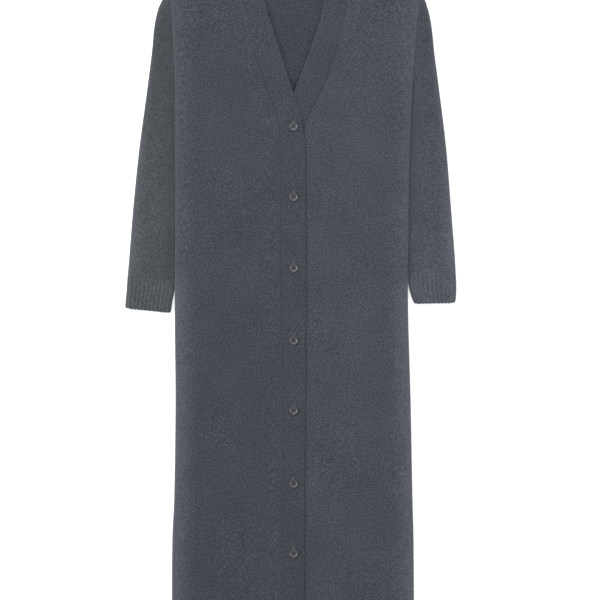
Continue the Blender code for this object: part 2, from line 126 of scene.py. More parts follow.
# The frame gives the button line and the hem, from which every piece is placed
BUTTON_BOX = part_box("button_1")
ORIGIN_X = (BUTTON_BOX[0][0] + BUTTON_BOX[1][0]) / 2 - BUTTON_X * MM
ORIGIN_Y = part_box("back")[0][1]


def mix(first, second, share):
    return first + (second - first) * share


def ease(start, end, at):
    """Smooth step from 0 at start to 1 at end."""
    share = max(0.0, min(1.0, (at - start) / (end - start)))
    return share * share * (3 - 2 * share)


def along(table, at):
    """Smooth value of a table of (height, value) rows at one height."""
    heights = [row[0] for row in table]
    here = max(0, min(len(table) - 2, bisect_right(heights, at) - 1))

    def slope(row):
        low, high = max(0, row - 1), min(len(table) - 1, row + 1)
        return (table[high][1] - table[low][1]) / (table[high][0] - table[low][0])

    (low_at, low), (high_at, high) = table[here], table[here + 1]
    span = high_at - low_at
    t = (at - low_at) / span
    start, end = slope(here) * span, slope(here + 1) * span
    return (low * (2 * t**3 - 3 * t**2 + 1) + start * (t**3 - 2 * t**2 + t)
            + high * (3 * t**2 - 2 * t**3) + end * (t**3 - t**2))


def smooth_rows(rows, steps):
    """Rows of values with smoothly worked out rows between them."""
    result = []
    for index in range(len(rows) - 1):
        four = [rows[max(0, min(len(rows) - 1, index + shift))] for shift in (-1, 0, 1, 2)]
        for step in range(steps):
            t = step / steps
            result.append(tuple(
                b + 0.5 * t * (c - a + t * (2 * a - 5 * b + 4 * c - d + t * (3 * (b - c) + d - a)))
                for a, b, c, d in zip(*four)
            ))
    result.append(rows[-1])
    return result


class Side:
    """One half of the body: its edges, worked out at any height."""

    def __init__(self, sign, side, tip, seam, edge, lapped):
        self.sign, self.side, self.tip = sign, side, tip
        self.seam, self.edge, self.lapped = seam, edge, lapped

    def side_x(self, height):
        if height <= UNDERARM:
            return along(self.side, height)
        return mix(self.side[-1][1], self.tip, (height - UNDERARM) / (SHOULDER_TIP - UNDERARM))

    def seam_x(self, height):
        return along(self.seam, height)

    def edge_x(self, height):
        return along(self.edge, height)

    def lap(self, height):
        return LAP_RISE * (1 - ease(LAP_TOP, LAP_LEVELS_OUT, height)) if self.lapped else 0.0


RIGHT = Side(-1, SIDE_RIGHT, TIP_RIGHT, SEAM_RIGHT, EDGE_RIGHT, True)
LEFT = Side(1, SIDE_LEFT, TIP_LEFT, SEAM_LEFT, EDGE_LEFT, False)


def side_height(seam_height):
    """Height at the side edge of the row that meets the band's seam at this height."""
    if seam_height <= FAN_FROM:
        return seam_height
    reach = (SHOULDER_TIP - FAN_FROM) / (SHOULDER_NECK - FAN_FROM)
    return FAN_FROM + (seam_height - FAN_FROM) * reach


def row_heights(step, top, finest=0.6):
    """Heights from the hem up, close together at both ends so that the edges can be rounded."""
    ends = [0.0, finest, 2 * finest, 4 * finest]
    count = round((top - 2 * ends[-1]) / step)
    middle = [ends[-1] + (top - 2 * ends[-1]) * number / count for number in range(1, count)]
    return ends + middle + [top - value for value in reversed(ends)]


class GarmentSettings(bpy.types.PropertyGroup):
    """How the cloth lies and how fine its meshes are."""

    loft: bpy.props.FloatProperty(
        name="Loft", description="Extra height in the middle of the fronts", default=1.9 * MM, unit="LENGTH")
    loft_width: bpy.props.FloatProperty(
        name="Loft width", description="Distance over which the cloth falls to its edges",
        default=46 * MM, unit="LENGTH")
    unevenness: bpy.props.FloatProperty(
        name="Unevenness", description="Depth of the soft hollows in the cloth", default=0.8 * MM, unit="LENGTH")
    cell: bpy.props.FloatProperty(
        name="Mesh cell", description="Size of the cloth's mesh cells", default=7 * MM, unit="LENGTH")
    rib_height: bpy.props.FloatProperty(
        name="Rib height", description="How far the cuffs' ribs stand up", default=1.7 * MM, unit="LENGTH")
    ribs_right: bpy.props.IntProperty(name="Right ribs", description="Ribs on the face of the right cuff", default=11)
    ribs_left: bpy.props.IntProperty(name="Left ribs", description="Ribs on the face of the left cuff", default=10)


class KnitSettings(bpy.types.PropertyGroup):
    """The yarn and its stitches."""

    dark: bpy.props.FloatVectorProperty(
        name="Dark fibre", description="Darkest fibre of the marl yarn", subtype="COLOR", size=3,
        default=(0.0135, 0.0150, 0.0205), min=0, max=1)
    middle: bpy.props.FloatVectorProperty(
        name="Main fibre", description="Main colour of the marl yarn", subtype="COLOR", size=3,
        default=(0.0315, 0.0345, 0.0435), min=0, max=1)
    light: bpy.props.FloatVectorProperty(
        name="Light fibre", description="Lightest fibre of the marl yarn", subtype="COLOR", size=3,
        default=(0.078, 0.085, 0.100), min=0, max=1)
    wale: bpy.props.FloatProperty(
        name="Wale", description="Width of one stitch", default=1.9 * MM, unit="LENGTH")
    course: bpy.props.FloatProperty(
        name="Course", description="Height of one row of stitches", default=1.5 * MM, unit="LENGTH")
    fuzz: bpy.props.FloatProperty(
        name="Fuzz", description="Loose fibres to a square metre along the free edges", default=150000.0, min=0)
    fibre: bpy.props.FloatProperty(
        name="Fibre length", description="Length of a loose fibre", default=2.6 * MM, unit="LENGTH")
    seam_pitch: bpy.props.FloatProperty(
        name="Seam pitch", description="Length of one linked stitch on the seams", default=2.6 * MM, unit="LENGTH")


class ButtonSettings(bpy.types.PropertyGroup):
    """The buttons and their thread."""

    radius: bpy.props.FloatProperty(
        name="Radius", description="Radius of a button", default=BUTTON_RADIUS * MM, unit="LENGTH")
    thick: bpy.props.FloatProperty(
        name="Thickness", description="Height of a button's rim", default=2.8 * MM, unit="LENGTH")
    colour: bpy.props.FloatVectorProperty(
        name="Horn", description="Main colour of the buttons", subtype="COLOR", size=3,
        default=(0.040, 0.0435, 0.0465), min=0, max=1)


class StageSettings(bpy.types.PropertyGroup):
    """Floor, light and camera."""

    floor: bpy.props.FloatVectorProperty(
        name="Floor", description="Colour of the floor", subtype="COLOR", size=3,
        default=(0.92, 0.92, 0.92), min=0, max=1)
    glow: bpy.props.FloatProperty(
        name="Glow", description="Light that the floor gives by itself, as a light table does",
        default=0.28, min=0, max=1)
    pixel: bpy.props.FloatProperty(
        name="Pixel", description="Size of one of the picture's 600 pixels on the cloth",
        default=1.864 * MM, unit="LENGTH")


def settings():
    scene = bpy.context.scene
    return scene.cardigan, scene.cardigan_knit, scene.cardigan_buttons, scene.cardigan_stage


# Meshes

def smooth_noise(x, y, size, seed):
    """Smooth noise from about -1 to 1 over the plan."""
    return noise.noise(Vector((x / size + seed * 17.3, y / size - seed * 9.1, seed * 3.7)))


def hollows(x, height):
    """Soft unevenness of the laid cloth, in millimetres."""
    depth = settings()[0].unevenness / MM
    return depth * (smooth_noise(x, height, 150, 1) + 0.5 * smooth_noise(x, height * 0.6, 60, 2)
                    + 0.22 * smooth_noise(x, height, 24, 3))


# The few creases that show on the left front: x, height, length, width, depth, lean in degrees
CREASES = ((64.0, 497.0, 62.0, 11.0, 0.7, 38), (136.0, 428.0, 70.0, 13.0, 0.6, 24),
           (-120.0, 380.0, 90.0, 16.0, 0.5, -30), (150.0, 705.0, 80.0, 15.0, 0.45, -22),
           (-160.0, 830.0, 75.0, 14.0, 0.5, 35), (110.0, 250.0, 95.0, 16.0, 0.5, 30))


def creases(x, height):
    """Depth of the main creases at a place, in millimetres."""
    total = 0.0
    for middle_x, middle_height, length, width, depth, lean in CREASES:
        across, up = x - middle_x, height - middle_height
        if abs(across) > length or abs(up) > length:
            continue
        turn = radians(lean)
        run = (across * cos(turn) + up * sin(turn)) / (length / 2)
        off = (-across * sin(turn) + up * cos(turn)) / width
        if abs(run) < 1:
            total += depth * (1 - run * run) ** 2 * (np.exp(-off * off) - 0.6 * np.exp(-(off - 1.5) ** 2))
    return total


def fall(distance, radius):
    """How far a round edge has dropped at a distance from its outermost line."""
    if distance >= radius:
        return 0.0
    inset = radius - max(distance, 0.0)
    return radius - sqrt(max(radius * radius - inset * inset, 0.0))


def swell(distance):
    """Share of the loft at a distance from the edge."""
    width = settings()[0].loft_width / MM
    share = min(1.0, max(0.0, distance - EDGE_RADIUS) / width)
    return 1 - (1 - share) ** 2


def body_loft(side, x, height):
    """Extra height of the fronts in their middle, which dies out at every edge."""
    across = swell(side.sign * (side.side_x(min(height, SHOULDER_TIP)) - x))
    hem = mix(0.35, 1.0, ease(0, 60, height))
    top = 1 - ease(1130, SHOULDER_TIP, height) * 0.8
    return settings()[0].loft / MM * across * hem * top


def crevice(height):
    """How far the body's edge turns down beside the sleeve: none at the shoulder."""
    return 1 - ease(1128, 1182, height)


def edge_mark(distance, reach=46.0):
    """Share of paler cloth at a distance from a free edge: painted sheen where the cloth rounds away, and more of the
    loose fibres that grow there.
    """
    return max(0.0, 1 - max(distance, 0.0) / reach) ** 1.6


def grid_normals(grid, around):
    """Unit normals of a grid of points, rows by columns."""
    if around:
        wide = np.concatenate([grid[:, -1:], grid, grid[:, :1]], axis=1)
        across = (wide[:, 2:] - wide[:, :-2])
    else:
        across = np.gradient(grid, axis=1)
    up = np.gradient(grid, axis=0)
    normal = np.cross(across, up)
    return normal / np.maximum(np.linalg.norm(normal, axis=2, keepdims=True), 1e-9)


def rounding(count, ends, amount):
    """Pinch of a wall at the first and last lines of a grid, so that its edge is round."""
    pinch = np.zeros(count)
    for index, share in enumerate((1.0, 0.35, 0.08)):
        pinch[index] = amount * share * ends[0]
        pinch[-1 - index] = amount * share * ends[1]
    return pinch


def shell(name, grid, wall, finish, uv, marks, around=False, outside=1, ends=(1, 1), sides=(1, 1),
          facing=()):
    """A closed, round-edged wall hung from a grid of its outer points, in millimetres.

    outside is 1 where columns crossed with rows point out of the wall. uv holds distances along the
    cloth, marks the share of painted sheen at each point where above 0 and of painted shade where below
    0, and ends and sides tell which of the first and last rows and columns are rounded. facing gives
    the outward direction of rows where the grid twists.
    """
    grid = np.array(grid, dtype=float)
    rows, columns = grid.shape[:2]
    normals = grid_normals(grid, around) * outside
    for row, direction in facing:
        normals[row, :] = direction
    row_pinch = rounding(rows, ends, wall * 0.36)
    column_pinch = rounding(columns, (0, 0) if around else sides, wall * 0.36)
    pinch = np.maximum(row_pinch[:, None], column_pinch[None, :])[:, :, None]
    outer = grid - normals * pinch
    inner = grid - normals * (wall - pinch)
    points = np.concatenate([outer.reshape(-1, 3), inner.reshape(-1, 3)]) * MM
    points[:, 0] += ORIGIN_X
    points[:, 1] += ORIGIN_Y
    count = rows * columns
    faces = []
    last = columns if around else columns - 1
    for row in range(rows - 1):
        for column in range(last):
            a, b = row * columns + column, row * columns + (column + 1) % columns
            c, d = a + columns, b + columns
            faces.append((a, b, d, c))
            faces.append((count + c, count + d, count + b, count + a))
    for column in range(last):
        a, b = column, (column + 1) % columns
        faces.append((b, a, count + a, count + b))
        a, b = a + (rows - 1) * columns, b + (rows - 1) * columns
        faces.append((a, b, count + b, count + a))
    if not around:
        for row in range(rows - 1):
            a, b = row * columns, (row + 1) * columns
            faces.append((a, b, count + b, count + a))
            a, b = a + columns - 1, b + columns - 1
            faces.append((b, a, count + a, count + b))
    if outside < 0:
        faces = [tuple(reversed(face)) for face in faces]
    mesh = bpy.data.meshes.new(name)
    mesh.from_pydata(points.tolist(), [], faces)
    layer = mesh.uv_layers.new(name="knit")
    flat_uv = np.array(uv, dtype=float).reshape(-1, 2) * MM
    corners = np.empty(len(mesh.loops), dtype=np.int64)
    mesh.loops.foreach_get("vertex_index", corners)
    layer.data.foreach_set("uv", flat_uv[corners % count].astype(np.float32).ravel())
    # edge holds the marks: painted sheen above 0 and painted shade below 0; the loose fibres also grow thicker where it
    # is high
    edge = mesh.attributes.new("edge", "FLOAT", "POINT")
    values = np.array(marks, dtype=float).ravel()
    edge.data.foreach_set("value", np.concatenate([values, values]).astype(np.float32))
    mesh.shade_smooth()
    return placed(name, mesh, finish)


def placed(name, mesh, finish):
    """An object at the origin with this mesh and finish."""
    made = bpy.data.objects.new(name, mesh)
    if finish:
        mesh.materials.clear()
        mesh.materials.append(finish)
    bpy.context.scene.collection.objects.link(made)
    return made


def dress(piece, slot, *nodes):
    """The piece moves with the garment and stands for these nodes, which it hides; slot is not used."""
    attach(piece, "root")
    if nodes:
        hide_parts(*nodes)


# Materials

def node(tree, kind, inputs=None, **values):
    """A shader node with its values and its links."""
    made = tree.nodes.new(kind)
    for name, value in values.items():
        setattr(made, name, value)
    for name, value in (inputs or {}).items():
        if isinstance(value, bpy.types.NodeSocket):
            tree.links.new(value, made.inputs[name])
        else:
            made.inputs[name].default_value = value
    return made


def maths(tree, operation, *values):
    return node(tree, "ShaderNodeMath", dict(enumerate(values)), operation=operation).outputs[0]


def new_material(name):
    made = bpy.data.materials.new(name)
    made.use_nodes = True
    made.node_tree.nodes.clear()
    shader = made.node_tree.nodes.new("ShaderNodeBsdfPrincipled")
    output = made.node_tree.nodes.new("ShaderNodeOutputMaterial")
    made.node_tree.links.new(shader.outputs[0], output.inputs["Surface"])
    return made, made.node_tree, shader


def stitch_height(tree, uv, wale, course):
    """Height of plain knit: two slanted legs to a stitch, side by side in columns."""
    parts = node(tree, "ShaderNodeSeparateXYZ", {0: uv})
    across = maths(tree, "MULTIPLY", parts.outputs[0], 1 / wale)
    up = maths(tree, "MULTIPLY", parts.outputs[1], 1 / course)
    place = maths(tree, "ABSOLUTE", maths(tree, "SUBTRACT", maths(tree, "FRACT", across), 0.5))
    leg = maths(tree, "MULTIPLY", place, 2.0)
    slant = maths(tree, "SUBTRACT", up, maths(tree, "MULTIPLY", leg, 0.55))
    row = maths(tree, "SINE", maths(tree, "MULTIPLY", maths(tree, "FRACT", slant), pi))
    round_leg = maths(tree, "SINE", maths(tree, "MULTIPLY", leg, pi))
    return maths(tree, "MULTIPLY", round_leg, maths(tree, "ADD", maths(tree, "MULTIPLY", row, 0.8), 0.2))


# Painted light of the pieces: one yarn, made paler or darker piece by piece as the light falls on it; and the heights
# over which their lower ends change: low, high
FRONT_PAINTED_LIGHT = {RIGHT: (0.91, 0.92, 0.94), LEFT: (1.06, 1.075, 1.11)}
SLEEVE_PAINTED_LIGHT = {RIGHT: (1.225, 1.23, 1.12), LEFT: (1.27, 1.29, 1.29)}
CUFF_PAINTED_LIGHT = {RIGHT: (1.29, 1.29, 1.15), LEFT: (1.50, 1.49, 1.46)}
BODY_LOW = (60.0, 560.0)
SLEEVE_LOW = (700.0, 800.0)


def marl(tree, place, knit, shade, contrast):
    """Colour of yarn spun from dark, middling and pale fibres, in small patches."""
    coarse = node(tree, "ShaderNodeTexNoise", {"Vector": place, "Scale": 408.0, "Detail": 2.0})
    fine = node(tree, "ShaderNodeTexNoise", {"Vector": place, "Scale": 890.0, "Detail": 2.0})
    broad = node(tree, "ShaderNodeTexNoise", {"Vector": place, "Scale": 11.0, "Detail": 2.0})
    mixed = maths(tree, "ADD", maths(tree, "MULTIPLY", coarse.outputs[0], 0.6),
                  maths(tree, "MULTIPLY", fine.outputs[0], 0.4))
    centred = maths(tree, "ADD", maths(tree, "MULTIPLY", maths(tree, "SUBTRACT", mixed, 0.5), contrast), 0.5)
    drifted = maths(tree, "ADD", centred, maths(tree, "MULTIPLY", maths(tree, "SUBTRACT", broad.outputs[0], 0.5), 0.17))
    ramp = node(tree, "ShaderNodeValToRGB", {0: drifted})
    colours = (knit.dark, knit.middle, knit.light)
    ramp.color_ramp.elements[0].position = 0.18
    ramp.color_ramp.elements[1].position = 0.86
    ramp.color_ramp.elements.new(0.5)
    # shade scales the three fibre colours; for the fronts, sleeves and cuffs it holds painted light
    for element, colour in zip(ramp.color_ramp.elements, colours):
        element.color = (*[value * part for value, part in zip(colour, shade)], 1.0)
    return ramp.outputs[0]


def knit_material(name, shade, contrast=2.2, bump=0.7, pale=0.36, top_share=1.0, low_share=1.0, low_range=BODY_LOW):
    """Soft, slightly hairy knit in marl yarn; the stitches follow the cloth. Its colour carries painted light: paler
    sheen at free edges, shade between the stitches and where the edge marks fall below 0, and a share at its two ends."""
    found = bpy.data.materials.get(name)
    if found:
        return found
    knit = settings()[1]
    made, tree, shader = new_material(name)
    coordinates = node(tree, "ShaderNodeTexCoord")
    uv, place = coordinates.outputs["UV"], coordinates.outputs["Object"]
    colour = marl(tree, place, knit, shade, contrast)
    edge = node(tree, "ShaderNodeAttribute", attribute_name="edge")
    # Painted sheen: where the edge marks are above 0, a pale grey is screened over the marl
    paler = node(tree, "ShaderNodeMix", data_type="RGBA", blend_type="SCREEN")
    lit = node(tree, "ShaderNodeMath", {0: edge.outputs["Fac"], 1: pale}, operation="MULTIPLY", use_clamp=True)
    tree.links.new(lit.outputs[0], paler.inputs[0])
    tree.links.new(colour, paler.inputs[6])
    paler.inputs[7].default_value = (0.11, 0.115, 0.125, 1.0)
    stitches = stitch_height(tree, uv, knit.wale, knit.course)
    # Painted shade where the edge marks fall below 0
    shaded = maths(tree, "MINIMUM", maths(tree, "ADD", edge.outputs["Fac"], 1.0), 1.0)
    height = node(tree, "ShaderNodeSeparateXYZ", {0: place})
    # Painted light by height: the top keeps top_share of the colour and the lower end low_share
    upper = node(tree, "ShaderNodeMapRange", {0: height.outputs[1], 1: 850 * MM + ORIGIN_Y,
                                              2: SHOULDER_TIP * MM + ORIGIN_Y, 3: 1.0, 4: top_share})
    lower = node(tree, "ShaderNodeMapRange", {0: height.outputs[1], 1: low_range[0] * MM + ORIGIN_Y,
                                              2: low_range[1] * MM + ORIGIN_Y, 3: low_share, 4: 1.0})
    ends = maths(tree, "MULTIPLY", upper.outputs[0], lower.outputs[0])
    # Painted shade between the stitches and painted light on their legs
    lit_stitches = maths(tree, "ADD", maths(tree, "MULTIPLY", stitches, 0.22), 0.88)
    valley = maths(tree, "MULTIPLY", maths(tree, "MULTIPLY", lit_stitches, shaded), ends)
    darker = node(tree, "ShaderNodeMix", data_type="RGBA", blend_type="MULTIPLY")
    darker.inputs[0].default_value = 1.0
    tree.links.new(paler.outputs[2], darker.inputs[6])
    tree.links.new(valley, darker.inputs[7])
    tree.links.new(darker.outputs[2], shader.inputs["Base Color"])
    hairs = node(tree, "ShaderNodeTexNoise", {"Vector": place, "Scale": 1500.0, "Detail": 3.0})
    lumps = node(tree, "ShaderNodeTexNoise", {"Vector": place, "Scale": 210.0, "Detail": 2.0})
    first = node(tree, "ShaderNodeBump", {"Strength": bump, "Distance": 0.5 * MM, "Height": stitches})
    second = node(tree, "ShaderNodeBump", {"Strength": 0.35, "Distance": 0.3 * MM, "Height": hairs.outputs[0],
                                           "Normal": first.outputs[0]})
    third = node(tree, "ShaderNodeBump", {"Strength": 0.3, "Distance": 0.8 * MM, "Height": lumps.outputs[0],
                                          "Normal": second.outputs[0]})
    tree.links.new(third.outputs[0], shader.inputs["Normal"])
    shader.inputs["Roughness"].default_value = 0.92
    shader.inputs["Specular IOR Level"].default_value = 0.22
    shader.inputs["Sheen Weight"].default_value = 0.22
    shader.inputs["Sheen Roughness"].default_value = 0.55
    shader.inputs["Sheen Tint"].default_value = (0.80, 0.86, 1.0, 1.0)
    return made


def horn_material():
    """Turned grey horn: clouded, streaked, with a fine speckle in its surface and a satin polish."""
    found = bpy.data.materials.get("horn")
    if found:
        return found
    buttons = settings()[2]
    made, tree, shader = new_material("horn")
    place = node(tree, "ShaderNodeTexCoord").outputs["Object"]
    stretched = node(tree, "ShaderNodeMapping", {"Vector": place, "Scale": (120.0, 420.0, 200.0)})
    cloud = node(tree, "ShaderNodeTexNoise", {"Vector": stretched.outputs[0], "Scale": 1.0, "Detail": 4.0})
    ramp = node(tree, "ShaderNodeValToRGB", {0: cloud.outputs[0]})
    ramp.color_ramp.elements[0].position = 0.3
    ramp.color_ramp.elements[1].position = 0.72
    ramp.color_ramp.elements[0].color = (*[value * 0.72 for value in buttons.colour], 1.0)
    ramp.color_ramp.elements[1].color = (*[value * 1.3 for value in buttons.colour], 1.0)
    # Painted shade in the dish: the middle attribute darkens the face towards its centre and dulls its reflection
    middle = node(tree, "ShaderNodeAttribute", attribute_name="middle")
    darker = node(tree, "ShaderNodeMix", data_type="RGBA", blend_type="MULTIPLY")
    tree.links.new(middle.outputs["Fac"], darker.inputs[0])
    tree.links.new(ramp.outputs[0], darker.inputs[6])
    darker.inputs[7].default_value = (0.5, 0.5, 0.52, 1.0)
    gloss = node(tree, "ShaderNodeMapRange", {0: middle.outputs["Fac"], 3: 0.5, 4: 0.22})
    tree.links.new(gloss.outputs[0], shader.inputs["Specular IOR Level"])
    tree.links.new(darker.outputs[2], shader.inputs["Base Color"])
    speck = node(tree, "ShaderNodeTexNoise", {"Vector": place, "Scale": 2600.0, "Detail": 2.0})
    bump = node(tree, "ShaderNodeBump", {"Strength": 0.12, "Distance": 0.1 * MM, "Height": speck.outputs[0]})
    tree.links.new(bump.outputs[0], shader.inputs["Normal"])
    rough = node(tree, "ShaderNodeMapRange", {0: cloud.outputs[0], 3: 0.22, 4: 0.36})
    tree.links.new(rough.outputs[0], shader.inputs["Roughness"])
    return made


def thread_material(name, colour, low_share=1.0):
    """Twisted sewing thread or yarn; below the V neck, where it sinks in, its colour is cut to a share, as painted
    shade.
    """
    found = bpy.data.materials.get(name)
    if found:
        return found
    made, tree, shader = new_material(name)
    place = node(tree, "ShaderNodeTexCoord").outputs["Object"]
    twist = node(tree, "ShaderNodeTexNoise", {"Vector": place, "Scale": 900.0, "Detail": 2.0})
    ramp = node(tree, "ShaderNodeValToRGB", {0: twist.outputs[0]})
    ramp.color_ramp.elements[0].position = 0.3
    ramp.color_ramp.elements[1].position = 0.7
    ramp.color_ramp.elements[0].color = (*[value * 0.7 for value in colour], 1.0)
    ramp.color_ramp.elements[1].color = (*[value * 1.35 for value in colour], 1.0)
    height = node(tree, "ShaderNodeSeparateXYZ", {0: place})
    share = node(tree, "ShaderNodeMapRange", {0: height.outputs[1], 1: 1060 * MM + ORIGIN_Y,
                                              2: 1165 * MM + ORIGIN_Y, 3: low_share, 4: 1.0},
                 interpolation_type="SMOOTHSTEP")
    # Painted shade on the sunk part of the seam
    sunk = node(tree, "ShaderNodeMix", data_type="RGBA", blend_type="MULTIPLY")
    sunk.inputs[0].default_value = 1.0
    tree.links.new(ramp.outputs[0], sunk.inputs[6])
    tree.links.new(share.outputs[0], sunk.inputs[7])
    tree.links.new(sunk.outputs[2], shader.inputs["Base Color"])
    shader.inputs["Roughness"].default_value = 0.85
    shader.inputs["Sheen Weight"].default_value = 0.3
    return made


# Panels

def front_grid(side):
    """Points, distances along the cloth and painted edge sheen of one front."""
    cell = settings()[0].cell / MM
    rows = row_heights(cell, SHOULDER_NECK)
    turned = [EDGE_RADIUS * (1 - cos(radians(angle))) for angle in (0, 20, 40, 60, 78)]
    grid, uv, marks = [], [], []
    for seam_height in rows:
        height = side_height(seam_height)
        start, end = side.side_x(height), side.seam_x(seam_height) + side.sign * 0.25
        width = abs(end - start)
        insets = turned + [EDGE_RADIUS + (width - EDGE_RADIUS) * n / 30 for n in range(30)]
        insets += [width - 2.4, width - 1.2, width - 0.6, width]
        line, distances, pale = [], [], []
        for inset in insets:
            share = inset / width
            x, up = mix(start, end, share), mix(height, seam_height, share)
            top = mix(SHOULDER_TIP, SHOULDER_NECK, share) - up
            level = 2 * EDGE_RADIUS + body_loft(side, x, up)
            level += side.lap(seam_height) * (1 - ease(0, LAP_RISE_WIDTH, width - inset))
            fade = min(1.0, inset / 30) * min(1.0, (width - inset) / 18) * min(1.0, max(top, 0) / 30)
            level += (hollows(x, up) + creases(x, up)) * fade
            drop = fall(inset, EDGE_RADIUS) * crevice(height)
            drop = max(drop, fall(top, EDGE_RADIUS)) * (level - EDGE_RADIUS - 0.2) / EDGE_RADIUS
            line.append((x, up, level - drop))
            distances.append((x, up))
            # Painted sheen at the free edges; from a height of 640 to 700 it falls to 45 percent
            pale.append(edge_mark(inset) * (1 - ease(640, 700, height) * 0.55))
        grid.append(line)
        uv.append(distances)
        marks.append(pale)
    return grid, uv, marks


def make_front(name, node_name, side):
    grid, uv, marks = front_grid(side)
    # Painted light: each front has its own share of the one yarn, and is darker towards the hem
    cloth = knit_material(f"marl_{node_name}", FRONT_PAINTED_LIGHT[side], low_share=0.98)
    piece = shell(name, grid, WALL * 0.9, cloth, uv, marks, outside=-side.sign,
                  sides=(0, 1))
    dress(piece, "wool_knit", node_name)
    return piece


def neck_line(side, steps=5):
    """Seam and edge points of the band behind the neck, from the shoulder to the centre."""
    rows = [(side.seam_x(NECK_CORNER), NECK_CORNER, NECK_CENTRE + side.sign * NECK_CORNER_EDGE[0],
             NECK_CORNER_EDGE[1])]
    for seam, seam_height, edge, edge_height in BACK_NECK:
        rows.append((NECK_CENTRE + side.sign * seam, seam_height,
                     NECK_CENTRE + side.sign * edge, edge_height))
    return smooth_rows(rows, steps)


def back_columns(side, rows):
    """Columns of the back on one side: points of its underside from the hem to the top."""
    columns = []
    turned = [EDGE_RADIUS * (1 - cos(radians(angle))) for angle in (0, 20, 40, 60, 78)]
    plan = [("side", inset) for inset in turned] + [("flat", n / 14) for n in range(15)]
    for kind, value in plan:
        column = []
        for seam_height in rows:
            height = side_height(seam_height)
            start = side.side_x(height)
            neck = side.seam_x(seam_height if seam_height > NECK_CORNER else SHOULDER_NECK)
            neck += side.sign * SEAM_GAP
            if kind == "side":
                share = value / abs(neck - start)
            else:
                share = mix(EDGE_RADIUS / abs(neck - start), 1.0, value)
            x, up = mix(start, neck, share), mix(height, seam_height, share)
            inset = share * abs(neck - start)
            top = mix(SHOULDER_TIP, SHOULDER_NECK, share) - up
            drop = max(fall(inset, EDGE_RADIUS) * crevice(height), fall(top, EDGE_RADIUS))
            # Painted sheen near the side edges of the back
            column.append((x, up, min(drop, EDGE_RADIUS - 0.2), edge_mark(inset, 30)))
        columns.append(column)
    first = sum(1 for height in rows if height <= BACK_TOP_FROM)
    for number, (x, top, _, _) in enumerate(neck_line(side)):
        x = x + side.sign * SEAM_GAP if number == 0 else x
        column = []
        for index, height in enumerate(rows):
            if index >= first:
                share = (height - rows[first - 1]) / (rows[-1] - rows[first - 1])
                height = mix(rows[first - 1], top - SEAM_GAP, share)
            column.append((x, height, 0.0, 0.0))
        columns.append(column)
    return columns


def soften_neck_shadow(cloth, share=1.36, width=15.0):
    """Painted light on the back, beside the upper band's edge in the V: its colour is made paler there, as light
    bounced off the band would lift the band's shadow.
    """
    tree = cloth.node_tree
    shader = next(item for item in tree.nodes if item.type == "BSDF_PRINCIPLED")
    colour = shader.inputs["Base Color"].links[0].from_socket
    parts = node(tree, "ShaderNodeSeparateXYZ", {0: node(tree, "ShaderNodeTexCoord").outputs["Object"]})
    low, high = 1000.0, SHOULDER_NECK
    lean = (RIGHT.edge_x(high) - RIGHT.edge_x(low)) / (high - low)
    start = ORIGIN_X + RIGHT.edge_x(low) * MM - lean * (ORIGIN_Y + low * MM)
    edge = maths(tree, "ADD", maths(tree, "MULTIPLY", parts.outputs[1], lean), start)
    beside = maths(tree, "SUBTRACT", parts.outputs[0], edge)
    paler = node(tree, "ShaderNodeMapRange", {0: beside, 1: 0.0, 2: width * MM, 3: share, 4: 1.0})
    lit = node(tree, "ShaderNodeMix", data_type="RGBA", blend_type="MULTIPLY")
    lit.inputs[0].default_value = 1.0
    tree.links.new(colour, lit.inputs[6])
    tree.links.new(paler.outputs[0], lit.inputs[7])
    tree.links.new(lit.outputs[2], shader.inputs["Base Color"])


def make_back():
    rows = row_heights(settings()[0].cell / MM, SHOULDER_NECK)
    columns = back_columns(RIGHT, rows)[:-1] + list(reversed(back_columns(LEFT, rows)[:-1]))
    grid = [[column[row][:3] for column in columns] for row in range(len(rows))]
    uv = [[column[row][:2] for column in columns] for row in range(len(rows))]
    marks = [[column[row][3] for column in columns] for row in range(len(rows))]
    cloth = knit_material("marl_knit_inside", (0.81, 0.815, 0.87))
    soften_neck_shadow(cloth)
    piece = shell("back_cloth", grid, WALL * 0.9, cloth, uv, marks, outside=-1, sides=(0, 0))
    dress(piece, "wool_knit", "back")
    return piece


# Bands

def band_waver(height):
    """Slight waver of the upper band's free edge, which the buttons pull in."""
    gaps = min(abs(height - button) for button in BUTTON_HEIGHTS)
    return 0.7 * sin(min(1.0, gaps / 66) * pi / 2) - 0.3 if height < 940 else 0.0


def band_line(side):
    """Sections of half the band, hem to centre back: seam, edge, level and, past the fold, direction."""
    sections = []
    top = SHOULDER_NECK - EDGE_RADIUS
    for height in row_heights(6.0, top)[:-3]:
        lead = EDGE_LEAD * ease(EDGE_LEAD_FROM, EDGE_LEAD_TO, height)
        edge_height = height + lead
        waver = band_waver(height) if side.lapped else 0.0
        seam = (side.seam_x(height), height)
        edge = (side.edge_x(edge_height) + waver, edge_height)
        loft = body_loft(side, seam[0], height)
        if not side.lapped:
            loft = mix(loft * 0.6, loft, ease(960, 1010, height))
        sections.append((seam, edge, 2 * EDGE_RADIUS + side.lap(height) + loft, None))
    last_loft = sections[-1][2] - 2 * EDGE_RADIUS
    for angle in (75, 60, 45, 30, 15, 0, -15, -30, -45, -60, -75, -90):
        reach = EDGE_RADIUS * cos(radians(angle))
        height = top + reach
        seam = (side.seam_x(height), height)
        edge = (side.edge_x(height + EDGE_LEAD), height + EDGE_LEAD)
        level = EDGE_RADIUS + EDGE_RADIUS * sin(radians(angle)) + last_loft * max(0.0, sin(radians(angle)))
        sections.append((seam, edge, level, (0.0, cos(radians(angle)), sin(radians(angle)))))
    for seam_x, seam_height, edge_x, edge_height in neck_line(side):
        sections.append(((seam_x, seam_height), (edge_x, edge_height), 0.0, (0.0, 0.0, -1.0)))
    return sections


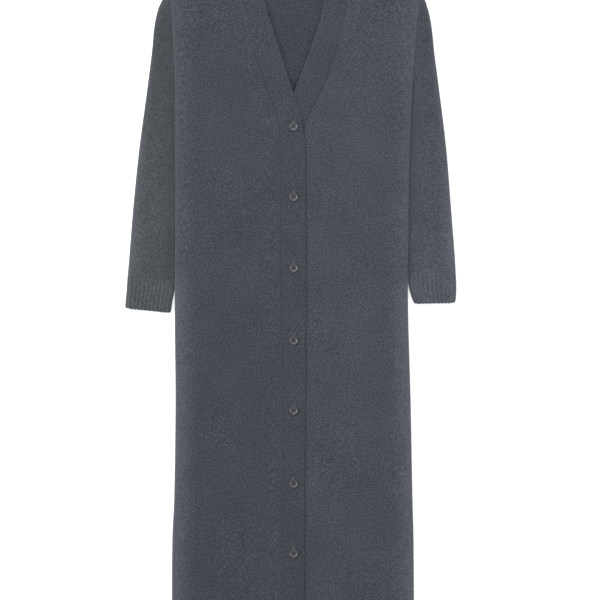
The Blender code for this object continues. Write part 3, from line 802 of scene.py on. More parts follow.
def make_band(name, node_name, side):
    shares = (0.0, 0.014, 0.03, 0.06, 0.14, 0.26, 0.38, 0.5, 0.62, 0.74, 0.86, 0.94, 0.97, 0.986, 1.0)
    grid, uv, marks, facing = [], [], [], []
    run = 0.0
    before = None
    for row, (seam, edge, level, direction) in enumerate(band_line(side)):
        if direction:
            facing.append((row, direction))
        middle = Vector((mix(seam[0], edge[0], 0.5), mix(seam[1], edge[1], 0.5), level))
        run += (middle - before).length if before else 0.0
        before = middle
        line, distances = [], []
        for share in shares:
            x, up = mix(seam[0], edge[0], share), mix(seam[1], edge[1], share)
            crown = 0.35 * sin(pi * share) if level > EDGE_RADIUS else 0.0
            soft = 0.12 * smooth_noise(x, up, 30, 5) if level > EDGE_RADIUS else 0.0
            if side.lapped:
                soft -= 0.9 * ease(965, 1000, up) * (1 - ease(1060, 1120, up)) * ease(0.72, 1.0, share)
            line.append((x, up, level + crown + soft))
            distances.append((share * 45, run))
        grid.append(line)
        uv.append(distances)
        # Painted sheen along the band's free edge
        marks.append([0.25 if share > 0.97 else 0.0 for share in shares])
    # Painted light: the band is darker towards the hem
    cloth = knit_material("marl_band", (0.895, 0.90, 0.92), 2.0, bump=0.6, low_share=0.98)
    piece = shell(name, grid, WALL * 0.95, cloth, uv, marks,
                  outside=-side.sign, facing=facing)
    dress(piece, "wool_band", node_name)
    return piece


# Sleeves and cuffs

UNDERSIDE_POINTS = 18


def tube_section(start, end, radii, top_levels):
    """Outer points round a flat tube, from its outer edge over the top and back underneath."""
    length = sqrt((end[0] - start[0]) ** 2 + (end[1] - start[1]) ** 2)
    points = []

    def place(distance, level):
        share = distance / length
        points.append((mix(start[0], end[0], share), mix(start[1], end[1], share), level, distance))

    angles = range(-75, 90, 15)
    for angle in angles:
        place(radii[0] * (1 - cos(radians(angle))), radii[0] * (1 + sin(radians(angle))))
    first, last = radii[0], length - radii[1]
    for number, level in enumerate(top_levels):
        place(mix(first, last, number / (len(top_levels) - 1)), level)
    for angle in reversed(angles):
        place(length - radii[1] * (1 - cos(radians(angle))), radii[1] * (1 + sin(radians(angle))))
    for number in range(UNDERSIDE_POINTS):
        place(mix(last, first, number / (UNDERSIDE_POINTS - 1)), 0.0)
    return points, length


SLEEVE_FLATS = 30
SLEEVE_DIP = 2.2
SLEEVE_DIP_WIDTH = 28.0


def sleeve_rows(side, table):
    """Sleeve rows, close together where it is set in."""
    steps = smooth_rows(table, 8)
    first = [0.0, 0.06, 0.14, 0.28, 0.5, 0.75]
    rows = [tuple(mix(a, b, share) for a, b in zip(steps[0], steps[1])) for share in first] + steps[1:]
    result = []
    for outer_x, outer_height, inner_height in rows:
        start = (outer_x, outer_height)
        end = (side.side_x(inner_height) + side.sign * 0.02, inner_height)
        result.append((start, end))
    return result


def make_sleeve(name, node_name, side, table):
    grid, uv, marks = [], [], []
    run = 0.0
    rows = sleeve_rows(side, table)
    for index, (start, end) in enumerate(rows):
        if index:
            before = rows[index - 1]
            run += 0.5 * (abs(start[1] - before[0][1]) + abs(end[1] - before[1][1]))
        set_in = ease(0, 14, index)
        radii = (EDGE_RADIUS, mix(EDGE_RADIUS, SLEEVE_EDGE_RADIUS, set_in))
        length = sqrt((end[0] - start[0]) ** 2 + (end[1] - start[1]) ** 2)
        levels = []
        settled = 1 - ease(len(rows) - 9, len(rows) - 1, index)
        for number in range(SLEEVE_FLATS + 1):
            share = number / SLEEVE_FLATS
            distance = mix(radii[0], length - radii[1], share)
            x, up = mix(start[0], end[0], distance / length), mix(start[1], end[1], distance / length)
            level = 2 * mix(radii[0], radii[1], share) + 1.7 * set_in * sin(pi * share) ** 0.8
            seam = side.sign * (x - side.side_x(min(up, SHOULDER_TIP)))
            level -= fall(seam, EDGE_RADIUS) * crevice(up) * (1 - set_in) * 0.8
            level -= SLEEVE_DIP * crevice(up) * max(0.0, 1 - seam / SLEEVE_DIP_WIDTH) ** 2 * set_in
            level += hollows(x, up) * 1.1 * min(1.0, seam / 14) * sin(pi * share) * set_in * settled
            levels.append(level)
        points, _ = tube_section(start, end, radii, levels)
        grid.append([point[:3] for point in points])
        uv.append([(point[3], -run) for point in points])
        # Painted sheen at the outer edge, and painted shade where the sleeve runs under the body's edge
        marks.append([edge_mark(point[3], 30) * 0.8
                      - 0.22 * crevice(point[1]) * max(0.0, 1 - (length - point[3]) / 30) ** 1.4
                      for point in points])
    # Painted light: the sleeve has its own share of the yarn, darker at the top to meet the body and moving towards the
    # cuff's at its lower end
    at_cuff = CUFF_PAINTED_LIGHT[side][1] / SLEEVE_PAINTED_LIGHT[side][1]
    cloth = knit_material(f"marl_{node_name}", SLEEVE_PAINTED_LIGHT[side], 1.8, top_share=0.8,
                          low_share=mix(1.0, at_cuff, 0.6), low_range=SLEEVE_LOW)
    piece = shell(name, grid, WALL * 0.85, cloth, uv, marks, around=True, outside=side.sign, ends=(0, 0))
    dress(piece, "wool_knit", node_name)
    return piece


def rib_shape(place):
    """Rounded rib with a narrow valley, from 0 to 1 over one repeat."""
    return max(0.0, sin(pi * (place % 1.0))) ** 0.75


CUFF_CORNER = 5.0


def make_cuff(name, node_name, side, table, ribs):
    height = settings()[0].rib_height / MM
    per_rib = 8
    joined = [(table[0][0], table[0][1] + SEAM_GAP, table[0][2], table[0][3] + SEAM_GAP), *table[1:]]
    rows = smooth_rows(joined, 11)
    grid, uv, marks = [], [], []
    for index, (outer_x, outer_height, inner_x, inner_height) in enumerate(rows):
        down = table[0][1] - outer_height
        clear = side.sign * (inner_x - side.side_x(inner_height)) - 1.0 * (1 - ease(8, 36, down))
        inner_x = side.side_x(inner_height) + side.sign * max(0.02, clear)
        left = max(0.0, outer_height - rows[-1][1])
        corner = CUFF_CORNER * (1 - sqrt(max(0.0, 1 - max(0.0, 1 - left / CUFF_CORNER) ** 2)))
        outer_x, inner_x = outer_x - side.sign * corner * 0.6, inner_x + side.sign * corner * 0.6
        start, end = (outer_x, outer_height), (inner_x, inner_height)
        grown = ease(-2, 16, down) * mix(0.5, 1.0, ease(0, 5, outer_height - rows[-1][1]))
        drawn_in = ease(0, 40, down)
        levels, crests = [], []
        for number in range(ribs * per_rib + 1):
            share = number / (ribs * per_rib)
            wander = 0.07 * smooth_noise(number / per_rib * 0.6, down * 0.4, 10, 6)
            crest = rib_shape(number / per_rib + wander)
            beads = 1 + 0.16 * sin(2 * pi * down / 5.4)
            level = 2 * mix(EDGE_RADIUS, SLEEVE_EDGE_RADIUS, share)
            level += mix(1.7, 1.2, drawn_in) * sin(pi * share) ** 0.8 - 0.7 * grown
            seam = side.sign * (mix(outer_x, inner_x, share) - side.side_x(inner_height))
            level -= SLEEVE_DIP * max(0.0, 1 - max(seam, 0) / SLEEVE_DIP_WIDTH) ** 2 * (1 - drawn_in)
            levels.append(level + grown * height * crest * beads)
            # Painted light on the ribs' crests and painted shade in their valleys
            crests.append(grown * (crest * beads - 0.38) * 0.36)
        points, length = tube_section(start, end, (EDGE_RADIUS, SLEEVE_EDGE_RADIUS), levels)
        first = (len(points) - len(levels) - UNDERSIDE_POINTS) // 2
        crests = [0.0] * first + crests + [0.0] * (len(points) - first - len(levels))
        grid.append([point[:3] for point in points])
        uv.append([(point[3], -outer_height) for point in points])
        # Painted sheen at the outer edge and painted shade at the inner edge beside the body
        marks.append([edge_mark(point[3], 16) * 0.5 - 0.18 * max(0.0, 1 - (length - point[3]) / 12) + crest
                      for point, crest in zip(points, crests)])
    cloth = knit_material(f"marl_{node_name}", CUFF_PAINTED_LIGHT[side], 1.8)
    piece = shell(name, grid, WALL * 0.85, cloth, uv, marks, around=True, outside=side.sign, ends=(0, 1))
    dress(piece, "wool_rib", node_name)
    return piece


# Buttons

def button_face(height):
    """Level of the band's face at a button, and the level that the button lies on."""
    return 2 * EDGE_RADIUS + LAP_RISE + body_loft(RIGHT, RIGHT.seam_x(height), height) + 0.35


def button_profile(radius, thick):
    """Radius and level of a turned button, from under its middle round to its dish."""
    rim = [(radius - 0.9 + 0.9 * cos(radians(a)), thick - 1.0 + 1.0 * sin(radians(a))) for a in range(-60, 91, 15)]
    dish = [(radius - 1.5, thick - 0.08), (radius - 1.9, thick - 0.3), (radius - 2.4, thick - 0.66),
            (radius - 3.0, thick - 0.96), (radius - 3.8, thick - 1.2), (radius - 5.0, thick - 1.36),
            (radius - 6.6, thick - 1.42)]
    return [(0.9, -3.0), (0.9, 0.1), (radius - 2.6, 0.1), (radius - 1.0, 0.7)] + rim + dish


def lathe(shape, profile, centre, sides):
    """Adds a turned shape to a bmesh, closed at both ends."""
    rings = []
    for radius, level in profile:
        rings.append([shape.verts.new((centre[0] + radius * cos(2 * pi * n / sides),
                                       centre[1] + radius * sin(2 * pi * n / sides), centre[2] + level))
                      for n in range(sides)])
    for low, high in zip(rings, rings[1:]):
        for n in range(sides):
            beside = (n + 1) % sides
            shape.faces.new((low[n], low[beside], high[beside], high[n]))
    shape.faces.new(list(reversed(rings[0])))
    shape.faces.new(rings[-1])


def to_mesh(shape, name, scale=MM):
    """A mesh from a bmesh in millimetres, moved to the garment's place."""
    for vert in shape.verts:
        vert.co = Vector((vert.co.x * scale + ORIGIN_X, vert.co.y * scale + ORIGIN_Y, vert.co.z * scale))
    bmesh.ops.recalc_face_normals(shape, faces=shape.faces[:])
    mesh = bpy.data.meshes.new(name)
    shape.to_mesh(mesh)
    shape.free()
    mesh.shade_smooth()
    mesh.set_sharp_from_angle(angle=radians(38))
    return mesh


HOLE_OFFSET = 1.75
HOLE_RADIUS = 0.8


def make_button(number, height):
    """One turned button with a raised rim, a dished face and four thread holes."""
    buttons = settings()[2]
    centre = (BUTTON_X, height, button_face(height) + 0.1)
    shape = bmesh.new()
    lathe(shape, button_profile(buttons.radius / MM, buttons.thick / MM), centre, 56)
    body = placed(f"button_{number}_turned", to_mesh(shape, f"button_{number}"), horn_material())
    holes = bmesh.new()
    for across in (-1, 1):
        for up in (-1, 1):
            place = (centre[0] + across * HOLE_OFFSET, centre[1] + up * HOLE_OFFSET, centre[2])
            lathe(holes, [(HOLE_RADIUS, -1.0), (HOLE_RADIUS, 3.4)], place, 20)
    tool = placed("hole_tool", to_mesh(holes, "hole_tool"), None)
    cut = body.modifiers.new("holes", "BOOLEAN")
    cut.operation = "DIFFERENCE"
    cut.object = tool
    body = applied(body)
    bpy.data.objects.remove(tool, do_unlink=True)
    body.data.set_sharp_from_angle(angle=radians(38))
    # middle marks the dish, where the horn material paints shade
    middle = body.data.attributes.new("middle", "FLOAT", "POINT")
    for vert in body.data.vertices:
        across = vert.co.x / MM - ORIGIN_X / MM - centre[0]
        up = vert.co.y / MM - ORIGIN_Y / MM - centre[1]
        middle.data[vert.index].value = 1 - ease(1.6, 4.2, sqrt(across * across + up * up))
    dress(body, "button_horn", f"button_{number}")


def applied(piece):
    """The piece with its modifiers turned to plain mesh."""
    depsgraph = bpy.context.evaluated_depsgraph_get()
    mesh = bpy.data.meshes.new_from_object(piece.evaluated_get(depsgraph))
    piece.modifiers.clear()
    piece.data = mesh
    return piece


def make_threads():
    """Thread through the four holes of each button, two bars side by side."""
    shape = bmesh.new()
    for height in BUTTON_HEIGHTS:
        level = button_face(height) + 0.1 + 2.8 - 1.35
        for across in (-1, 1):
            for strand in (-0.26, 0.26):
                x = BUTTON_X + across * HOLE_OFFSET + strand
                path = [(x, height + HOLE_OFFSET * t, level + 0.35 * (1 - t * t) - 1.1 * max(0.0, abs(t) - 0.8))
                        for t in (-1.15, -0.95, -0.6, 0, 0.6, 0.95, 1.15)]
                tube(shape, path, 0.26, 7)
    piece = placed("button_threads", to_mesh(shape, "button_threads"), thread_material("dark_thread", (0.03, 0.033, 0.042)))
    dress(piece, "wool_band")


def tube(shape, path, radius, sides):
    """Adds a closed thread along a path that runs up the garment."""
    rings = []
    for index, point in enumerate(path):
        ahead = Vector(path[min(index + 1, len(path) - 1)]) - Vector(path[max(index - 1, 0)])
        ahead.normalize()
        across = ahead.cross(Vector((0, 0, 1)))
        across.normalize()
        above = across.cross(ahead)
        rings.append([shape.verts.new(Vector(point) + radius * (across * cos(2 * pi * n / sides)
                                                                + above * sin(2 * pi * n / sides)))
                      for n in range(sides)])
    for low, high in zip(rings, rings[1:]):
        for n in range(sides):
            beside = (n + 1) % sides
            shape.faces.new((low[n], low[beside], high[beside], high[n]))
    shape.faces.new(list(reversed(rings[0])))
    shape.faces.new(rings[-1])


# Seams, by Geometry Nodes

def stitch_tree():
    """A tree that sets linked stitches along the edges of a mesh that holds a seam's line."""
    found = bpy.data.node_groups.get("linked_seam")
    if found:
        return found
    tree = bpy.data.node_groups.new("linked_seam", "GeometryNodeTree")
    face = tree.interface
    face.new_socket("Geometry", in_out="INPUT", socket_type="NodeSocketGeometry")
    for name, default in (("Pitch", 0.0026), ("Stitch Length", 0.0031), ("Thickness", 0.0006), ("Tilt", 0.35)):
        face.new_socket(name, in_out="INPUT", socket_type="NodeSocketFloat").default_value = default
    face.new_socket("Seed", in_out="INPUT", socket_type="NodeSocketInt").default_value = 4
    face.new_socket("Finish", in_out="INPUT", socket_type="NodeSocketMaterial")
    face.new_socket("Geometry", in_out="OUTPUT", socket_type="NodeSocketGeometry")

    start = tree.nodes.new("NodeGroupInput")
    end = tree.nodes.new("NodeGroupOutput")
    curve = node(tree, "GeometryNodeMeshToCurve", {0: start.outputs["Geometry"]})
    points = node(tree, "GeometryNodeResampleCurve", {"Curve": curve.outputs[0], "Length": start.outputs["Pitch"]},
                  mode="LENGTH")
    bead = node(tree, "GeometryNodeMeshUVSphere", {"Segments": 8, "Rings": 6, "Radius": 0.5})
    tangent = node(tree, "GeometryNodeInputTangent")
    aligned = node(tree, "FunctionNodeAlignRotationToVector", {"Vector": tangent.outputs[0]}, axis="Z")
    joined = node(tree, "GeometryNodeJoinGeometry")
    for side in (-1, 1):
        lean = node(tree, "ShaderNodeMath", {0: start.outputs["Tilt"], 1: float(side)}, operation="MULTIPLY")
        jitter = node(tree, "FunctionNodeRandomValue", {2: -0.12, 3: 0.12, "Seed": start.outputs["Seed"]},
                      data_type="FLOAT")
        total = node(tree, "ShaderNodeMath", {0: lean.outputs[0], 1: jitter.outputs[1]}, operation="ADD")
        spin = node(tree, "FunctionNodeAxisAngleToRotation", {"Axis": (0.0, 0.0, 1.0), "Angle": total.outputs[0]})
        turned = node(tree, "FunctionNodeRotateRotation",
                      {"Rotation": aligned.outputs[0], "Rotate By": spin.outputs[0]}, rotation_space="GLOBAL")
        size = node(tree, "ShaderNodeCombineXYZ", {0: start.outputs["Thickness"], 1: start.outputs["Thickness"],
                                                   2: start.outputs["Stitch Length"]})
        set_out = node(tree, "GeometryNodeInstanceOnPoints",
                       {"Points": points.outputs[0], "Instance": bead.outputs[0], "Rotation": turned.outputs[0],
                        "Scale": size.outputs[0]})
        half = node(tree, "ShaderNodeMath", {0: start.outputs["Thickness"], 1: 0.55 * side}, operation="MULTIPLY")
        apart = node(tree, "ShaderNodeCombineXYZ", {0: half.outputs[0]})
        moved = node(tree, "GeometryNodeTranslateInstances",
                     {"Instances": set_out.outputs[0], "Translation": apart.outputs[0]})
        moved.inputs["Local Space"].default_value = False
        tree.links.new(moved.outputs[0], joined.inputs[0])
    real = node(tree, "GeometryNodeRealizeInstances", {0: joined.outputs[0]})
    smooth = node(tree, "GeometryNodeSetShadeSmooth", {0: real.outputs[0]})
    finish = node(tree, "GeometryNodeSetMaterial", {0: smooth.outputs[0], "Material": start.outputs["Finish"]})
    tree.links.new(finish.outputs[0], end.inputs[0])
    return tree


def socket_id(tree, name):
    """Identifier of a tree's input socket."""
    for item in tree.interface.items_tree:
        if item.item_type == "SOCKET" and item.in_out == "INPUT" and item.name == name:
            return item.identifier
    raise RuntimeError(f"the tree has no input called {name}")


def grown(name, lines, tree, values):
    """A plain mesh that a tree grows on polylines, given in millimetres."""
    points, edges = [], []
    for line in lines:
        first = len(points)
        points += [(x * MM + ORIGIN_X, y * MM + ORIGIN_Y, z * MM) for x, y, z in line]
        edges += [(first + n, first + n + 1) for n in range(len(line) - 1)]
    mesh = bpy.data.meshes.new(name)
    mesh.from_pydata(points, edges, [])
    piece = placed(name, mesh, None)
    modifier = piece.modifiers.new("grow", "NODES")
    modifier.node_group = tree
    for socket, value in values.items():
        modifier[socket_id(tree, socket)] = value
    return applied(piece)


def band_seam(side, low, high):
    """The line of a band's seam, which stands proud in the V neck and sinks in lower down."""
    line = []
    for height in np.arange(low, high, 6.0):
        x = side.seam_x(height)
        level = 2 * EDGE_RADIUS + side.lap(height) + body_loft(side, x, height)
        line.append((x, height, level + mix(-0.25, 0.2, ease(980, 1060, height))))
    return line


def neck_seam():
    """The line of the band's seam to the back, across the neck."""
    halves = [[(row[0], row[1] - 0.1, WALL * 0.85) for row in neck_line(side)] for side in (RIGHT, LEFT)]
    return halves[0] + list(reversed(halves[1]))


def shoulder_seams():
    """The lines where the sleeves are set into the shoulders."""
    return [[(side.side_x(h) + side.sign * 0.1, h, 2 * EDGE_RADIUS - 0.35)
             for h in np.arange(1150, SHOULDER_TIP - 6, 6.0)] for side in (RIGHT, LEFT)]


def make_seams():
    knit = settings()[1]
    top = SHOULDER_NECK - 5
    plain = [neck_seam(), *shoulder_seams()]
    banded = [band_seam(RIGHT, 4, top), band_seam(LEFT, 955, top)]
    # The band seams' yarn is paler than the cloth as painted highlight where they stand proud in the V, and darkened
    # below it as painted shade where they sink in
    for name, shade, low_share, lines in (
        ("linked_seams_band", 2.1, 0.3, banded),
        ("linked_seams_body", 0.75, 1.0, plain),
    ):
        yarn = thread_material(f"{name}_yarn", tuple(value * shade for value in knit.middle), low_share)
        piece = grown(name, lines, stitch_tree(),
                      {"Pitch": knit.seam_pitch, "Stitch Length": knit.seam_pitch * 1.25,
                       "Thickness": 0.7 * MM, "Tilt": 0.4, "Seed": 4, "Finish": yarn})
        dress(piece, "wool_knit")


def make_buttonholes():
    """Overcast stitches round each upright slit, under the buttons and just above them."""
    knit = settings()[1]
    lines = []
    for height in BUTTON_HEIGHTS:
        level = button_face(height) + 0.05
        half_length, half_width = 9.0, 0.8
        for turn in range(0, 44):
            angle = 2 * pi * turn / 44
            x = BUTTON_X + half_width * cos(angle)
            y = height + 1.5 + half_length * (1 if sin(angle) >= 0 else -1) * abs(sin(angle)) ** 0.7
            out = Vector((cos(angle), 0.35 * sin(angle), 0)).normalized() if abs(sin(angle)) < 0.96 \
                else Vector((cos(angle) * 0.8, sin(angle), 0)).normalized()
            low = Vector((x, y, level))
            lines.append([tuple(low), tuple(low + out * 1.1 + Vector((0, 0, 0.1)))])
    yarn = thread_material("hole_yarn", tuple(value * 1.7 for value in knit.middle))
    piece = grown("buttonhole_stitches", lines, stitch_tree(),
                  {"Pitch": 3.0 * MM, "Stitch Length": 1.7 * MM, "Thickness": 0.5 * MM, "Tilt": 0.0,
                   "Seed": 9, "Finish": yarn})
    dress(piece, "wool_band")


# Loose fibres, by Geometry Nodes

def fuzz_tree():
    """A tree that grows thin curved fibres out of the upper faces, most of them near free edges."""
    found = bpy.data.node_groups.get("loose_fibres")
    if found:
        return found
    tree = bpy.data.node_groups.new("loose_fibres", "GeometryNodeTree")
    face = tree.interface
    face.new_socket("Geometry", in_out="INPUT", socket_type="NodeSocketGeometry")
    for name, default in (("Density", 9000.0), ("Fibre Length", 0.0026), ("Thickness", 0.00005),
                          ("Lowest", 0.0025)):
        face.new_socket(name, in_out="INPUT", socket_type="NodeSocketFloat").default_value = default
    face.new_socket("Seed", in_out="INPUT", socket_type="NodeSocketInt").default_value = 7
    face.new_socket("Finish", in_out="INPUT", socket_type="NodeSocketMaterial")
    face.new_socket("Geometry", in_out="OUTPUT", socket_type="NodeSocketGeometry")

    start = tree.nodes.new("NodeGroupInput")
    end = tree.nodes.new("NodeGroupOutput")
    level = node(tree, "ShaderNodeSeparateXYZ", {0: node(tree, "GeometryNodeInputPosition").outputs[0]})
    high = node(tree, "FunctionNodeCompare", {0: level.outputs[2], 1: start.outputs["Lowest"]},
                operation="GREATER_THAN", data_type="FLOAT")
    edge = node(tree, "GeometryNodeInputNamedAttribute", {"Name": "edge"}, data_type="FLOAT")
    share = node(tree, "ShaderNodeMath", {0: edge.outputs[0], 1: 0.05}, operation="ADD", use_clamp=True)
    steep = node(tree, "ShaderNodeMath", {0: share.outputs[0], 1: 2.0}, operation="POWER")
    density = node(tree, "ShaderNodeMath", {0: steep.outputs[0], 1: start.outputs["Density"]},
                   operation="MULTIPLY")
    spread = node(tree, "GeometryNodeDistributePointsOnFaces",
                  {"Mesh": start.outputs["Geometry"], "Selection": high.outputs[0],
                   "Density": density.outputs[0], "Seed": start.outputs["Seed"]}, distribute_method="RANDOM")
    strand = node(tree, "GeometryNodeCurveQuadraticBezier",
                  {"Resolution": 3, "Start": (0.0, 0.0, 0.0), "Middle": (0.0, 0.15, 0.65), "End": (0.55, 0.1, 0.8)})
    profile = node(tree, "GeometryNodeCurvePrimitiveCircle", {"Resolution": 3, "Radius": 0.02}, mode="RADIUS")
    hair = node(tree, "GeometryNodeCurveToMesh", {"Curve": strand.outputs[0], "Profile Curve": profile.outputs[0]})
    turn = node(tree, "FunctionNodeRandomValue", {0: (-0.9, -0.9, -pi), 1: (0.9, 0.9, pi),
                                                  "Seed": start.outputs["Seed"]}, data_type="FLOAT_VECTOR")
    turned = node(tree, "FunctionNodeRotateRotation",
                  {"Rotation": spread.outputs["Rotation"],
                   "Rotate By": node(tree, "FunctionNodeEulerToRotation", {0: turn.outputs[0]}).outputs[0]},
                  rotation_space="LOCAL")
    size = node(tree, "FunctionNodeRandomValue", {2: 0.5, 3: 1.3, "Seed": start.outputs["Seed"]},
                data_type="FLOAT")
    length = node(tree, "ShaderNodeMath", {0: size.outputs[1], 1: start.outputs["Fibre Length"]},
                  operation="MULTIPLY")
    set_out = node(tree, "GeometryNodeInstanceOnPoints",
                   {"Points": spread.outputs[0], "Instance": hair.outputs[0], "Rotation": turned.outputs[0],
                    "Scale": length.outputs[0]})
    real = node(tree, "GeometryNodeRealizeInstances", {0: set_out.outputs[0]})
    finish = node(tree, "GeometryNodeSetMaterial", {0: real.outputs[0], "Material": start.outputs["Finish"]})
    tree.links.new(finish.outputs[0], end.inputs[0])
    return tree


def make_fuzz():
    """Loose fibres on the fronts and on the sleeves."""
    knit = settings()[1]
    tree = fuzz_tree()
    finish = thread_material("fibre", tuple(value * 1.5 for value in knit.light))
    for name, slot, density, sources in (
        ("loose_fibres_body", "wool_knit", knit.fuzz, ("front_right_cloth", "front_left_cloth")),
        ("loose_fibres_sleeves", "wool_knit", knit.fuzz, ("sleeve_right_cloth", "sleeve_left_cloth")),
    ):
        shape = bmesh.new()
        for source in sources:
            shape.from_mesh(bpy.data.objects[source].data)
        mesh = bpy.data.meshes.new(name)
        shape.to_mesh(mesh)
        shape.free()
        piece = placed(name, mesh, None)
        modifier = piece.modifiers.new("grow", "NODES")
        modifier.node_group = tree
        for socket, value in (("Density", density), ("Fibre Length", knit.fibre), ("Lowest", 3.3 * MM),
                              ("Seed", 7), ("Finish", finish)):
            modifier[socket_id(tree, socket)] = value
        dress(applied(piece), slot)


# Stage

def make_stage():
    """Pale floor, soft light from both sides and from above, and the camera."""
    stage = settings()[3]
    size, level = 6.0, -0.0006
    mesh = bpy.data.meshes.new("floor")
    mesh.from_pydata([(-size, -size, level), (size, -size, level), (size, size, level), (-size, size, level)],
                     [], [(0, 1, 2, 3)])
    paper, tree, shader = new_material("paper")
    place = node(tree, "ShaderNodeTexCoord").outputs["Object"]
    grain = node(tree, "ShaderNodeTexNoise", {"Vector": place, "Scale": 40.0, "Detail": 3.0})
    ramp = node(tree, "ShaderNodeValToRGB", {0: grain.outputs[0]})
    ramp.color_ramp.elements[0].color = (*[value * 0.99 for value in stage.floor], 1.0)
    ramp.color_ramp.elements[1].color = (*stage.floor, 1.0)
    tree.links.new(ramp.outputs[0], shader.inputs["Base Color"])
    shader.inputs["Roughness"].default_value = 0.9
    shader.inputs["Emission Color"].default_value = (1.0, 1.0, 1.0, 1.0)
    shader.inputs["Emission Strength"].default_value = stage.glow
    floor = placed("floor", mesh, paper)

    world = bpy.data.worlds.new("studio")
    world.use_nodes = True
    sky = world.node_tree.nodes["Background"]
    sky.inputs["Color"].default_value = (0.97, 0.985, 1.0, 1.0)
    sky.inputs["Strength"].default_value = 0.74
    bpy.context.scene.world = world

    for name, place, turn, width, power in (
        ("left_softbox", (-2.2, 0.3, 1.6), (0, radians(-54), 0), 1.8, 60.0),
        ("right_softbox", (2.2, 0.1, 1.6), (0, radians(54), 0), 1.8, 22.0),
        ("top_softbox", (-0.2, 1.6, 2.4), (radians(-34), 0, 0), 1.5, 33.0),
    ):
        light = bpy.data.lights.new(name, "AREA")
        light.shape = "SQUARE"
        light.size = width
        light.energy = power
        lamp = bpy.data.objects.new(name, light)
        lamp.location = place
        lamp.rotation_euler = turn
        bpy.context.scene.collection.objects.link(lamp)

    camera_data = bpy.data.cameras.new("camera")
    camera_data.lens = 100.0
    camera_data.sensor_width = 36.0
    camera = bpy.data.objects.new("camera", camera_data)
    middle_x = (300 - 292.5) * stage.pixel + ORIGIN_X
    middle_y = (643 - 300) * stage.pixel + ORIGIN_Y
    distance = 300 * stage.pixel / (camera_data.sensor_width / 2 / camera_data.lens)
    camera.location = (middle_x, middle_y, distance + 9 * MM)
    bpy.context.scene.collection.objects.link(camera)
    bpy.context.scene.camera = camera
    bpy.context.scene.view_settings.view_transform = "Standard"


class CARDIGAN_OT_stage(bpy.types.Operator):
    """Set the pale floor, the soft lights and the camera"""

    bl_idname = "cardigan.stage"
    bl_label = "Stage"

    def execute(self, context):
        make_stage()
        return {"FINISHED"}


class CARDIGAN_OT_back(bpy.types.Operator):
    """Make the back"""

    bl_idname = "cardigan.back"
    bl_label = "Back"

    def execute(self, context):
        make_back()
        return {"FINISHED"}


class CARDIGAN_OT_fronts(bpy.types.Operator):
    """Make the two fronts"""

    bl_idname = "cardigan.fronts"
    bl_label = "Fronts"

    def execute(self, context):
        make_front("front_right_cloth", "front_right", RIGHT)
        make_front("front_left_cloth", "front_left", LEFT)
        return {"FINISHED"}


class CARDIGAN_OT_bands(bpy.types.Operator):
    """Make the two halves of the front band"""

    bl_idname = "cardigan.bands"
    bl_label = "Bands"

    def execute(self, context):
        make_band("band_under_knit", "band_under", LEFT)
        make_band("band_top_knit", "band_top", RIGHT)
        return {"FINISHED"}


class CARDIGAN_OT_sleeves(bpy.types.Operator):
    """Make the two sleeves"""

    bl_idname = "cardigan.sleeves"
    bl_label = "Sleeves"

    def execute(self, context):
        make_sleeve("sleeve_right_cloth", "sleeve_right", RIGHT, SLEEVE_RIGHT)
        make_sleeve("sleeve_left_cloth", "sleeve_left", LEFT, SLEEVE_LEFT)
        return {"FINISHED"}


class CARDIGAN_OT_cuffs(bpy.types.Operator):
    """Make the two ribbed cuffs"""

    bl_idname = "cardigan.cuffs"
    bl_label = "Cuffs"

    def execute(self, context):
        garment = settings()[0]
        make_cuff("cuff_right_rib", "cuff_right", RIGHT, CUFF_RIGHT, garment.ribs_right)
        make_cuff("cuff_left_rib", "cuff_left", LEFT, CUFF_LEFT, garment.ribs_left)
        return {"FINISHED"}


class CARDIGAN_OT_buttons(bpy.types.Operator):
    """Make the seven buttons and the thread that holds them"""

    bl_idname = "cardigan.buttons"
    bl_label = "Buttons"

    def execute(self, context):
        for number, height in enumerate(BUTTON_HEIGHTS, 1):
            make_button(number, height)
        make_threads()
        return {"FINISHED"}


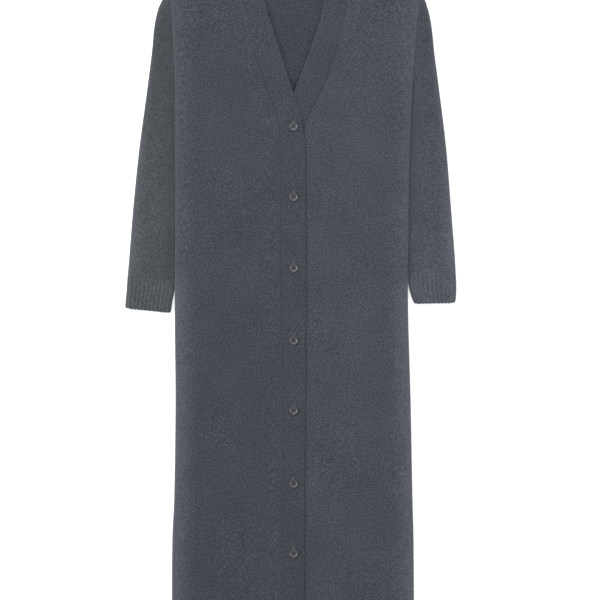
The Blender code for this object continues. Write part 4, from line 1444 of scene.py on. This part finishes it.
class CARDIGAN_OT_seams(bpy.types.Operator):
    """Link the seams and overcast the buttonholes"""

    bl_idname = "cardigan.seams"
    bl_label = "Seams and buttonholes"

    def execute(self, context):
        make_seams()
        make_buttonholes()
        return {"FINISHED"}


class CARDIGAN_OT_fuzz(bpy.types.Operator):
    """Grow the loose fibres on the cloth"""

    bl_idname = "cardigan.fuzz"
    bl_label = "Loose fibres"

    def execute(self, context):
        make_fuzz()
        return {"FINISHED"}


STEPS = ("stage", "back", "fronts", "bands", "sleeves", "cuffs", "buttons", "seams", "fuzz")
GROUPS = (("cardigan", GarmentSettings), ("cardigan_knit", KnitSettings),
          ("cardigan_buttons", ButtonSettings), ("cardigan_stage", StageSettings))


class CARDIGAN_PT_sidebar(bpy.types.Panel):
    """Sizes, colours and steps of the cardigan"""

    bl_label = "Duster cardigan"
    bl_space_type = "VIEW_3D"
    bl_region_type = "UI"
    bl_category = "Cardigan"

    def draw(self, context):
        for attribute, group in GROUPS:
            box = self.layout.box()
            values = getattr(context.scene, attribute)
            for name in group.__annotations__:
                box.prop(values, name)
        for step in STEPS:
            self.layout.operator(f"cardigan.{step}")


OPERATORS = (CARDIGAN_OT_stage, CARDIGAN_OT_back, CARDIGAN_OT_fronts, CARDIGAN_OT_bands, CARDIGAN_OT_sleeves,
             CARDIGAN_OT_cuffs, CARDIGAN_OT_buttons, CARDIGAN_OT_seams, CARDIGAN_OT_fuzz)


def register():
    for attribute, group in GROUPS:
        bpy.utils.register_class(group)
        setattr(bpy.types.Scene, attribute, bpy.props.PointerProperty(type=group))
    for operator in OPERATORS:
        bpy.utils.register_class(operator)
    bpy.utils.register_class(CARDIGAN_PT_sidebar)


def unregister():
    bpy.utils.unregister_class(CARDIGAN_PT_sidebar)
    for operator in reversed(OPERATORS):
        bpy.utils.unregister_class(operator)
    for attribute, group in reversed(GROUPS):
        delattr(bpy.types.Scene, attribute)
        bpy.utils.unregister_class(group)


def main():
    register()
    for step in STEPS:
        getattr(bpy.ops.cardigan, step)()


if __name__ == "__main__":
    main()
